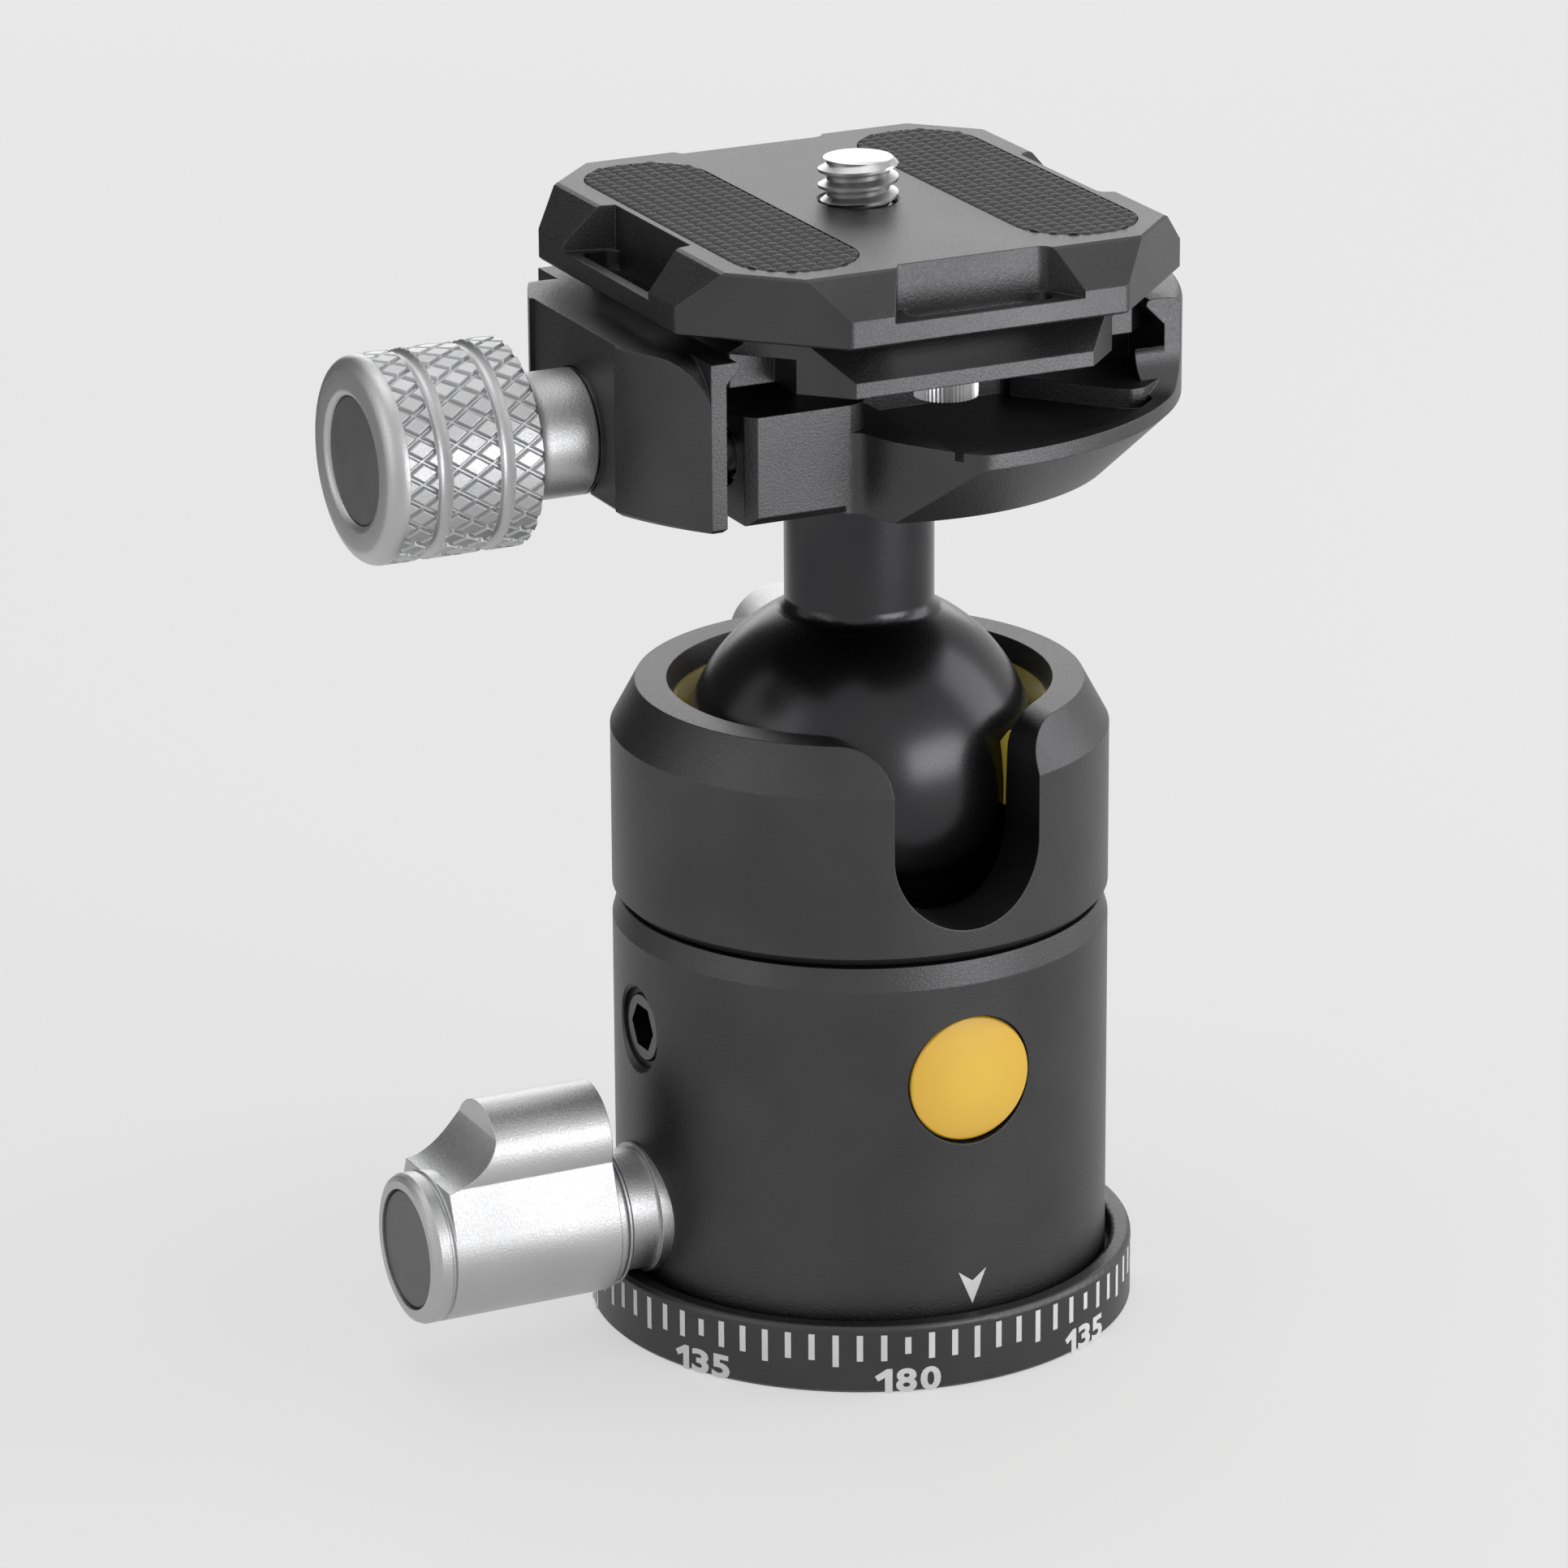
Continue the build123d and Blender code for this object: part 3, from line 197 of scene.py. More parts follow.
def shade(tree: bpy.types.NodeTree, inputs: dict[str | int, object]) -> None:
    """Adds a Principled shader with these inputs and joins it to the output."""
    shader = add_node(tree, "ShaderNodeBsdfPrincipled", inputs)
    add_node(tree, "ShaderNodeOutputMaterial", {"Surface": shader.outputs["BSDF"]})


# ---- finishes ----


@dataclass(frozen=True)
class BlastedAnodising:
    """Aluminium, blasted with fine beads and anodised: satin, with a grain that breaks up each highlight.

    The dye soaks into the hard oxide, so the metal's own gleam stays under the colour, and a bevel
    rounds the edges in the shading, so they catch thin highlights.
    """

    name: str
    dark: str
    light: str
    roughness: float
    grain_mm: float
    grain_depth_mm: float
    edge_mm: float
    cloud_mm: float = 9.0
    roughness_swing: float = 0.05

    def material(self) -> bpy.types.Material:
        """Builds the node material."""
        material, tree = new_material(self.name)
        place = add_node(tree, "ShaderNodeTexCoord").outputs["Object"]
        edge = add_node(tree, "ShaderNodeBevel", {"Radius": self.edge_mm * MM}, samples=6)
        grain = noise(tree, place, self.grain_mm, 3.0)
        bump = add_node(
            tree,
            "ShaderNodeBump",
            {
                "Strength": 1.0,
                "Distance": self.grain_depth_mm * MM,
                "Height": grain,
                "Normal": edge.outputs["Normal"],
            },
        )
        cloud = noise(tree, place, self.cloud_mm)
        matt = self.roughness + self.roughness_swing
        shade(
            tree,
            {
                "Base Color": mixed_colour(tree, cloud, self.dark, self.light),
                "Metallic": 1.0,
                "Roughness": spread(tree, grain, self.roughness - self.roughness_swing, matt),
                "Normal": bump.outputs["Normal"],
            },
        )
        return material


@dataclass(frozen=True)
class TurnedMetal:
    """Bare metal from the lathe: fine rings round its axis that stretch each highlight across them.

    The real rings are 0.05 mm apart, too fine to show, so they are drawn at ring_mm.
    """

    name: str
    dark: str
    light: str
    roughness: float
    ring_mm: float
    ring_depth_mm: float
    turn: Turn
    centre: tuple[float, float, float] = (0.0, 0.0, 0.0)
    ring_wobble: float = 0.4
    smear_mm: float = 1.5
    roughness_swing: float = 0.04

    def material(self) -> bpy.types.Material:
        """Builds the node material."""
        ring_period_at_scale_1 = math.tau / 20
        material, tree = new_material(self.name)
        place = add_node(tree, "ShaderNodeTexCoord").outputs["Object"]
        laid = add_node(
            tree,
            "ShaderNodeMapping",
            {
                "Vector": place,
                "Location": Vector(self.centre) * MM,
                "Rotation": self.turn.value,
            },
            vector_type="TEXTURE",
        )
        rings = add_node(
            tree,
            "ShaderNodeTexWave",
            {
                "Vector": laid.outputs["Vector"],
                "Scale": ring_period_at_scale_1 / (self.ring_mm * MM),
                "Distortion": self.ring_wobble,
                "Detail": 1.0,
            },
            wave_type="RINGS",
            rings_direction="Z",
        )
        bump = add_node(
            tree,
            "ShaderNodeBump",
            {
                "Strength": 1.0,
                "Distance": self.ring_depth_mm * MM,
                "Height": rings.outputs["Fac"],
            },
        )
        smear = noise(tree, place, self.smear_mm)
        matt = self.roughness + self.roughness_swing
        shade(
            tree,
            {
                "Base Color": mixed_colour(tree, smear, self.dark, self.light),
                "Metallic": 1.0,
                "Roughness": spread(tree, smear, self.roughness - self.roughness_swing, matt),
                "Normal": bump.outputs["Normal"],
            },
        )
        return material


@dataclass(frozen=True)
class MouldedPlastic:
    """Injection-moulded plastic or rubber: an even satin skin from a spark-eroded mould."""

    name: str
    dark: str
    light: str
    roughness: float
    grain_mm: float
    grain_depth_mm: float
    cloud_mm: float = 2.5
    roughness_swing: float = 0.06

    def material(self) -> bpy.types.Material:
        """Builds the node material."""
        material, tree = new_material(self.name)
        place = add_node(tree, "ShaderNodeTexCoord").outputs["Object"]
        grain = noise(tree, place, self.grain_mm, 3.0)
        bump = add_node(
            tree,
            "ShaderNodeBump",
            {"Strength": 1.0, "Distance": self.grain_depth_mm * MM, "Height": grain},
        )
        cloud = noise(tree, place, self.cloud_mm)
        matt = self.roughness + self.roughness_swing
        shade(
            tree,
            {
                "Base Color": mixed_colour(tree, cloud, self.dark, self.light),
                "Roughness": spread(tree, grain, self.roughness - self.roughness_swing, matt),
                "Normal": bump.outputs["Normal"],
            },
        )
        return material


@dataclass(frozen=True)
class ResinDome:
    """Clear resin poured over an amber disc: a deep amber colour under a wet gloss, with a painted
    highlight that makes it paler in the middle.
    """

    name: str
    rim: str
    middle: str
    centre: tuple[float, float, float]
    radius_mm: float

    def material(self) -> bpy.types.Material:
        """Builds the node material."""
        material, tree = new_material(self.name)
        place = add_node(tree, "ShaderNodeTexCoord").outputs["Object"]
        laid = add_node(
            tree,
            "ShaderNodeMapping",
            {
                "Vector": place,
                "Location": Vector(self.centre) * (-1 / self.radius_mm),
                "Scale": (1 / (self.radius_mm * MM),) * 3,
            },
        )
        # Painted highlight: a spherical gradient from the amber rim colour to the paler middle colour
        # lightens the dome's middle.
        glow = add_node(
            tree, "ShaderNodeTexGradient", {"Vector": laid.outputs["Vector"]}, gradient_type="SPHERICAL"
        )
        ramp = add_node(tree, "ShaderNodeValToRGB", {"Fac": glow.outputs["Fac"]})
        ramp.color_ramp.elements[0].color = linear(self.rim)
        ramp.color_ramp.elements[0].position = 0.05
        ramp.color_ramp.elements[1].color = linear(self.middle)
        ramp.color_ramp.elements[1].position = 0.8
        shade(
            tree,
            {
                "Base Color": ramp.outputs["Color"],
                "Roughness": 0.35,
                "Coat Weight": 1.0,
                "Coat Roughness": 0.04,
            },
        )
        return material


# ---- building meshes ----


def arc(
    centre: tuple[float, float], radius: float, start: float, end: float, steps: int
) -> list[tuple[float, float]]:
    """Points on a round stretch of an outline.

    Args:
        centre: the arc's centre.
        radius: its radius.
        start: the angle of its first point in degrees.
        end: the angle of its last point in degrees.
        steps: how many chords it is drawn with.

    Returns:
        steps + 1 points.
    """
    angles = [math.radians(start + (end - start) * i / steps) for i in range(steps + 1)]
    return [(centre[0] + radius * math.cos(a), centre[1] + radius * math.sin(a)) for a in angles]


def lathe(bm: bmesh.types.BMesh, outline: Iterable[tuple[float, float]], steps: int) -> None:
    """Spins an outline about the Z axis.

    Args:
        bm: the mesh that gets the turned shape.
        outline: points (radius, height), from one end of the axis to the other.
        steps: faces around.
    """
    points = [bm.verts.new((radius, 0, height)) for radius, height in outline]
    edges = [bm.edges.new(pair) for pair in zip(points, points[1:])]
    bmesh.ops.spin(
        bm,
        geom=[*points, *edges],
        cent=(0, 0, 0),
        axis=(0, 0, 1),
        angle=math.tau,
        steps=steps,
        use_merge=True,
    )
    bmesh.ops.remove_doubles(bm, verts=bm.verts[:], dist=1e-4)


def wrap(bm: bmesh.types.BMesh, radius: float, around: float) -> None:
    """Bends a flat layout round the Z axis: x runs round, y becomes height and z stands off.

    Args:
        bm: the mesh to bend.
        radius: the cylinder's radius.
        around: the angle from +X, in degrees, where x is 0.
    """
    for vert in bm.verts:
        along, height, off = vert.co
        angle = math.radians(around) + along / radius
        reach = radius + off
        vert.co = (reach * math.cos(angle), reach * math.sin(angle), height)


def cut(
    bm: bmesh.types.BMesh, point: tuple[float, float, float], outward: tuple[float, float, float]
) -> list[bmesh.types.BMEdge]:
    """Cuts away what lies outside a plane.

    Args:
        bm: the mesh to cut.
        point: a point of the plane.
        outward: the plane's normal, to the side that goes.

    Returns:
        The edges that lie on the cut.
    """
    result = bmesh.ops.bisect_plane(
        bm,
        geom=[*bm.verts, *bm.edges, *bm.faces],
        dist=1e-5,
        plane_co=point,
        plane_no=outward,
        clear_outer=True,
    )
    return [item for item in result["geom_cut"] if isinstance(item, bmesh.types.BMEdge)]


def finished(
    name: str,
    bm: bmesh.types.BMesh,
    material: bpy.types.Material,
    body: str,
    place: Matrix | None = None,
    crease: float = 32.0,
) -> bpy.types.Object:
    """Turns a mesh in millimetres into a piece that rides on a body.

    Args:
        name: the piece's name.
        bm: its mesh, which is used up.
        material: its finish.
        body: the body that carries it.
        place: where it goes, in millimetres.
        crease: edges sharper than this angle in degrees stay sharp.

    Returns:
        The piece's object, at the origin.
    """
    bmesh.ops.transform(bm, matrix=Matrix.Scale(MM, 4) @ (place or Matrix()), verts=bm.verts[:])
    bmesh.ops.recalc_face_normals(bm, faces=bm.faces[:])
    for face in bm.faces:
        face.smooth = True
    mesh = bpy.data.meshes.new(name)
    bm.to_mesh(mesh)
    bm.free()
    mesh.set_sharp_from_angle(angle=math.radians(crease))
    mesh.materials.append(material)
    piece = bpy.data.objects.new(name, mesh)
    bpy.context.scene.collection.objects.link(piece)
    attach(piece, body)
    return piece


def report(piece: bpy.types.Object) -> None:
    """Logs a finished piece with its face count."""
    LOG.info("%s: %d faces", piece.name, len(piece.data.polygons))


# ---- the sub-assemblies ----


@dataclass
class PanBase:
    """The dial ring's white markings: a tick each 5 degrees and plain numbers each 45."""

    radius: float = DIAL_RADIUS
    ink: float = 0.03
    tick_degrees: int = 5
    long_tick_degrees: int = 15
    number_degrees: int = 45
    tick_width: float = 0.5
    tick_top: float = 5.0
    tick_foot: float = 2.8
    long_foot: float = 2.3
    numbered_top: float = 4.75
    numbered_foot: float = 3.33
    number_height: float = 2.05
    number_foot: float = 0.05
    digit_width: float = 1.68
    one_width: float = 1.4
    one_stroke: float = 0.6
    flag_start: float = 0.15
    flag_slant: float = 0.26
    flag_tip_share: float = 0.7
    flag_foot_share: float = 0.49
    flag_root_share: float = 0.64
    digit_gap: float = 0.29
    half_turn_at: float = -106.6

    def tick(self, bm: bmesh.types.BMesh, degrees: int) -> None:
        """Adds the flat tick at this many degrees from the half turn mark."""
        top, foot = self.tick_top, self.tick_foot
        if degrees % self.number_degrees == 0:
            top, foot = self.numbered_top, self.numbered_foot
        elif degrees % self.long_tick_degrees == 0:
            foot = self.long_foot
        place = Matrix.Translation((math.radians(degrees) * self.radius, (top + foot) / 2, 0))
        size = Matrix.Diagonal((self.tick_width, top - foot, 2 * self.ink, 1))
        bmesh.ops.create_cube(bm, size=1, matrix=place @ size)

    def digit(self, bm: bmesh.types.BMesh, figure: str, left: float) -> None:
        """Adds one bold figure as a thin solid.

        Args:
            bm: the flat layout of the markings.
            figure: the digit.
            left: where its left side goes along the ring.
        """
        if figure == "1":
            self.one(bm, left)
            return
        boldness = 0.035
        some_thickness = 0.05
        curve = bpy.data.curves.new("figure", "FONT")
        curve.body = figure
        curve.extrude = some_thickness
        curve.offset = boldness
        curve.resolution_u = 4
        holder = bpy.data.objects.new("figure", curve)
        bpy.context.scene.collection.objects.link(holder)
        bpy.context.view_layer.update()
        evaluated = holder.evaluated_get(bpy.context.evaluated_depsgraph_get())
        mesh = bpy.data.meshes.new_from_object(evaluated)
        bpy.data.objects.remove(holder)
        xs = [vert.co.x for vert in mesh.vertices]
        ys = [vert.co.y for vert in mesh.vertices]
        zs = [vert.co.z for vert in mesh.vertices]
        scale = Matrix.Diagonal(
            (
                self.digit_width / (max(xs) - min(xs)),
                self.number_height / (max(ys) - min(ys)),
                2 * self.ink / (max(zs) - min(zs)),
                1,
            )
        )
        middle = Matrix.Translation((-min(xs), -min(ys), -(max(zs) + min(zs)) / 2))
        mesh.transform(Matrix.Translation((left, self.number_foot, 0)) @ scale @ middle)
        bm.from_mesh(mesh)
        bpy.data.meshes.remove(mesh)

    def one(self, bm: bmesh.types.BMesh, left: float) -> None:
        """Adds the figure 1, a stroke with a slanting flag, with its left side at this place."""
        foot, top = self.number_foot, self.number_foot + self.number_height
        stem = left + self.one_width - self.one_stroke
        outline = [
            (stem, foot),
            (stem + self.one_stroke, foot),
            (stem + self.one_stroke, top),
            (stem + self.flag_start, top),
            (left, foot + self.flag_tip_share * self.number_height),
            (left + self.flag_slant, foot + self.flag_foot_share * self.number_height),
            (stem, foot + self.flag_root_share * self.number_height),
        ]
        face = bm.faces.new([bm.verts.new((x, y, -self.ink)) for x, y in outline])
        raised = bmesh.ops.extrude_face_region(bm, geom=[face], use_keep_orig=True)
        lifted = [item for item in raised["geom"] if isinstance(item, bmesh.types.BMVert)]
        bmesh.ops.translate(bm, vec=(0, 0, 2 * self.ink), verts=lifted)

    def number(self, bm: bmesh.types.BMesh, value: int, degrees: float) -> None:
        """Adds a number centred at this many degrees from the half turn mark."""
        figures = str(value)
        widths = [self.one_width if figure == "1" else self.digit_width for figure in figures]
        total = sum(widths) + self.digit_gap * (len(figures) - 1)
        left = math.radians(degrees) * self.radius - total / 2
        for figure, width in zip(figures, widths):
            self.digit(bm, figure, left)
            left += width + self.digit_gap

    def build(self, ink: bpy.types.Material) -> bpy.types.Object:
        """Makes all markings of the dial as one piece on the base."""
        bm = bmesh.new()
        for degrees in range(-180, 180, self.tick_degrees):
            self.tick(bm, degrees)
        for degrees in range(-180, 180, self.number_degrees):
            self.number(bm, 180 - abs(degrees), degrees)
        wrap(bm, self.radius, self.half_turn_at)
        return finished("dial_markings", bm, ink, "base")


@dataclass
class Housing:
    """The index arrow and the domed badge on the housing's front."""

    radius: float = HOUSING_RADIUS
    ink: float = 0.03
    arrow_width: float = 2.45
    arrow_top: float = 8.9
    arrow_notch: float = 8.0
    arrow_tip: float = 6.04
    badge_height: float = 25.1
    badge_radius: float = 5.17
    badge_back: float = 18.95
    badge_rim: float = 19.55
    badge_rise: float = 0.6
    badge_edge: float = 0.12
    dome_steps: int = 12
    steps_round: int = 96

    def index_arrow(self, ink: bpy.types.Material) -> bpy.types.Object:
        """Makes the notched arrowhead that reads the dial."""
        bm = bmesh.new()
        outline = [
            (-self.arrow_width / 2, self.arrow_top),
            (0, self.arrow_notch),
            (self.arrow_width / 2, self.arrow_top),
            (0, self.arrow_tip),
        ]
        corners = [bm.verts.new((x, y, -self.ink)) for x, y in outline]
        halves = [bm.faces.new((corners[0], corners[3], corners[1]))]
        halves.append(bm.faces.new((corners[1], corners[3], corners[2])))
        raised = bmesh.ops.extrude_face_region(bm, geom=halves, use_keep_orig=True)
        top = [item for item in raised["geom"] if isinstance(item, bmesh.types.BMVert)]
        bmesh.ops.translate(bm, vec=(0, 0, 2 * self.ink), verts=top)
        wrap(bm, self.radius, -90)
        return finished("index_arrow", bm, ink, "housing")

    def badge(self, resin: bpy.types.Material) -> bpy.types.Object:
        """Makes the bare domed badge, a lens of resin over its disc."""
        ball_radius = (self.badge_radius**2 + self.badge_rise**2) / (2 * self.badge_rise)
        half_angle = math.degrees(math.asin(self.badge_radius / ball_radius))
        centre = (0.0, self.badge_rim + self.badge_rise - ball_radius)
        edge = self.badge_edge
        inside_the_rim = 0.975
        dome_outline = arc(centre, ball_radius, 90 - half_angle * inside_the_rim, 90, self.dome_steps)
        bm = bmesh.new()
        outline = [
            (0, self.badge_back),
            (self.badge_radius - edge, self.badge_back),
            (self.badge_radius, self.badge_back + edge),
            (self.badge_radius, self.badge_rim - edge),
            *dome_outline[:-1],
            (0, self.badge_rim + self.badge_rise),
        ]
        lathe(bm, outline, self.steps_round)
        place = Matrix.Translation((0, 0, self.badge_height)) @ Matrix.Rotation(math.radians(90), 4, "X")
        piece = finished("badge_dome", bm, resin, "housing", place)
        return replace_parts(piece, "badge")


@dataclass
class ClampKnob:
    """The clamp's turning knob: three knurled bands, two smooth grooves, a rounded nose and a cap seat.

    Lengths along the knob are counted from the ball head's axis.
    """

    crest_radius: float = 8.2
    floor_radius: float = 7.86
    groove_radius: float = 7.72
    diamonds_round: int = 29
    diamond_length: float = 2.85
    groove_floor: float = 0.06
    groove_slope: float = 0.17
    bands: tuple[tuple[float, float], ...] = ((30.8, 33.2), (34.4, 38.4), (39.6, 41.9))
    band_root: float = 0.4
    neck_radius: float = 5.0
    neck_start: float = 24.7
    neck_end: float = 28.7
    throat_radius: float = 1.9
    bore_radius: float = 4.3
    cap_seat: float = 42.2
    nose: float = 43.4
    nose_inner: float = 5.05
    shoulder: float = 1.3
    inner_rounding: float = 0.55
    steps_round: int = 128

    def band(self, start: float, end: float) -> bmesh.types.BMesh:
        """Makes one knurled ring, closed, round the Z axis.

        Args:
            start: its end nearer to the clamp.
            end: its other end.

        Returns:
            The ring's mesh.
        """
        pitch = math.tau * self.crest_radius / self.diamonds_round
        half_round = self.diamonds_round / 2 * pitch
        half_length = (end - start) / 2
        cells = self.diamonds_round + 2 * math.ceil((end - start) / self.diamond_length) + 3
        bm = bmesh.new()
        bmesh.ops.create_grid(bm, x_segments=cells, y_segments=cells, size=cells / 2)
        bmesh.ops.rotate(bm, verts=bm.verts[:], matrix=Matrix.Rotation(math.radians(45), 3, "Z"))
        side_to_corner = math.sqrt(0.5)
        size = (pitch * side_to_corner, self.diamond_length * side_to_corner, 1)
        bmesh.ops.scale(bm, vec=size, verts=bm.verts[:])
        reach = half_length + self.diamond_length
        far = [face for face in bm.faces if abs(face.calc_center_median().y) > reach]
        bmesh.ops.delete(bm, geom=far, context="FACES")
        tops = bm.faces[:]
        bmesh.ops.inset_individual(bm, faces=tops, thickness=self.groove_floor, use_even_offset=True)
        bmesh.ops.inset_individual(
            bm,
            faces=tops,
            thickness=self.groove_slope,
            depth=self.crest_radius - self.floor_radius,
            use_even_offset=True,
        )
        cut(bm, (-half_round, 0, 0), (-1, 0, 0))
        cut(bm, (half_round, 0, 0), (1, 0, 0))
        for side in (-1, 1):
            rim = cut(bm, (0, side * half_length, 0), (0, side, 0))
            walls = bmesh.ops.extrude_edge_only(bm, edges=rim)
            for vert in (item for item in walls["geom"] if isinstance(item, bmesh.types.BMVert)):
                vert.co.z = -self.band_root
        bmesh.ops.translate(bm, vec=(0, (start + end) / 2, 0), verts=bm.verts[:])
        wrap(bm, self.floor_radius, 0)
        bmesh.ops.remove_doubles(bm, verts=bm.verts[:], dist=1e-3)
        open_edges = [edge for edge in bm.edges if edge.is_boundary]
        bmesh.ops.bridge_loops(bm, edges=open_edges)
        return bm

    def core(self, bm: bmesh.types.BMesh) -> None:
        """Adds the turned body under the knurls, with its grooves, neck and nose."""
        edge = 0.15
        sunk = 0.05
        bevel = 0.25
        wall = 0.1
        under = self.floor_radius - sunk
        groove_lip = self.crest_radius - 0.04
        nose_lip = self.crest_radius - 0.02
        throat = (self.neck_radius + self.throat_radius, self.neck_end)
        first_band = self.bands[0][0]
        last_band = self.bands[-1][1]
        outline = [
            (self.bore_radius, self.neck_start),
            (self.neck_radius - edge, self.neck_start),
            (self.neck_radius, self.neck_start + edge),
            (self.neck_radius, self.neck_end),
            *arc(throat, self.throat_radius, 180, 110, 8)[1:],
            (under - bevel, first_band - sunk - bevel),
            (under, first_band - sunk),
        ]
        for (_, before), (after, _) in zip(self.bands, self.bands[1:]):
            middle = (before + after) / 2
            half = (after - before) / 2
            outline.append((under, before - wall))
            outline.append((groove_lip, before))
            dip = groove_lip - self.groove_radius
            for step in range(1, 10):
                share = step / 5 - 1
                outline.append((self.groove_radius + dip * share**2, middle + half * share))
            outline.append((groove_lip, after))
            outline.append((under, after + wall))
        nose_centre = (self.crest_radius - self.shoulder, self.nose - self.shoulder)
        inner_centre = (self.nose_inner + self.inner_rounding, self.nose - self.inner_rounding)
        flat_nose = 0.9
        outline += [
            (under, last_band - wall),
            (nose_lip, last_band),
            *arc(nose_centre, self.shoulder, 3, 90, 10),
            (self.nose_inner + flat_nose, self.nose),
            *arc(inner_centre, self.inner_rounding, 80, 180, 6),
            (self.nose_inner, self.cap_seat),
            (self.bore_radius, self.cap_seat),
            (self.bore_radius, self.neck_start),
        ]
        lathe(bm, outline, self.steps_round)

    def build(self, metal: bpy.types.Material) -> bpy.types.Object:
        """Makes the whole knob as one piece that turns with the clamp's lever body."""
        bm = bmesh.new()
        self.core(bm)
        for start, end in self.bands:
            ring = self.band(start, end)
            bmesh.ops.recalc_face_normals(ring, faces=ring.faces[:])
            mesh = bpy.data.meshes.new("ring")
            ring.to_mesh(mesh)
            ring.free()
            bm.from_mesh(mesh)
            bpy.data.meshes.remove(mesh)
        sideways = Matrix.Rotation(math.radians(-90), 4, "Y")
        place = Matrix.Translation((0, 0, CLAMP_SCREW_HEIGHT)) @ sideways
        piece = finished("knurled_clamp_knob", bm, metal, "clamp_lever", place, 28)
        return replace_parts(piece, "clamp_knob")


@dataclass
class CameraScrew:
    """The 1/4 inch camera screw, 20 threads to the inch, with its head under the plate."""

    crest: float = 3.175
    sleeve: float = 3.0
    root: float = 2.5
    pitch: float = 1.27
    crest_flat: float = 0.2
    flank: float = 0.39
    thread_start: float = 89.7
    top: float = 95.5
    top_radius: float = 2.75
    head_radius: float = 7.6
    head_bottom: float = 82.5
    head_top: float = 85.4
    head_edge: float = 0.25
    waist_start: float = 86.6
    waist_end: float = 89.6
    steps_round: int = 64
    head_steps: int = 96
    overlap: float = 0.1

    def thread(self, bm: bmesh.types.BMesh) -> None:
        """Adds the threaded end: one turn's outline spun upwards, cut flat and chamfered at the tip."""
        turns = math.ceil((self.top - self.thread_start) / self.pitch) + 2
        low = self.thread_start - self.pitch
        outline = [
            (self.root, low),
            (self.crest, low + self.flank),
            (self.crest, low + self.flank + self.crest_flat),
            (self.root, low + 2 * self.flank + self.crest_flat),
            (self.root, low + self.pitch),
        ]
        points = [bm.verts.new((radius, 0, height)) for radius, height in outline]
        edges = [bm.edges.new(pair) for pair in zip(points, points[1:])]
        bmesh.ops.spin(
            bm,
            geom=[*points, *edges],
            cent=(0, 0, 0),
            axis=(0, 0, 1),
            dvec=(0, 0, self.pitch / self.steps_round),
            angle=math.tau * turns,
            steps=self.steps_round * turns,
        )
        bmesh.ops.remove_doubles(bm, verts=bm.verts[:], dist=1e-3)
        for height, outward in ((self.top, 1), (self.thread_start, -1)):
            rim = cut(bm, (0, 0, height), (0, 0, outward))
            bmesh.ops.contextual_create(bm, geom=rim)
        for vert in bm.verts:
            reach = math.hypot(vert.co.x, vert.co.y)
            allowed = self.top_radius + (self.top - vert.co.z)
            if vert.co.z < PLATE_TOP + self.overlap:
                allowed = self.sleeve
            if reach > allowed:
                vert.co.x *= allowed / reach
                vert.co.y *= allowed / reach

    def head(self) -> bmesh.types.BMesh:
        """Makes the shank, its waist and the plain head."""
        bm = bmesh.new()
        edge = self.head_edge
        slope = 0.2
        lathe(
            bm,
            [
                (0, self.head_bottom),
                (self.head_radius - edge, self.head_bottom),
                (self.head_radius, self.head_bottom + edge),
                (self.head_radius, self.head_top - edge),
                (self.head_radius - edge, self.head_top),
                (self.sleeve, self.head_top),
                (self.sleeve, self.waist_start),
                (self.root, self.waist_start + slope),
                (self.root, self.waist_end),
                (self.sleeve - self.overlap, self.thread_start + self.overlap),
                (0, self.thread_start + self.overlap),
            ],
            self.head_steps,
        )
        return bm

    def build(self, steel: bpy.types.Material) -> bpy.types.Object:
        """Makes the camera screw as one piece."""
        bm = self.head()
        self.thread(bm)
        piece = finished("threaded_camera_screw", bm, steel, "camera_bolt")
        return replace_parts(piece, "camera_screw")


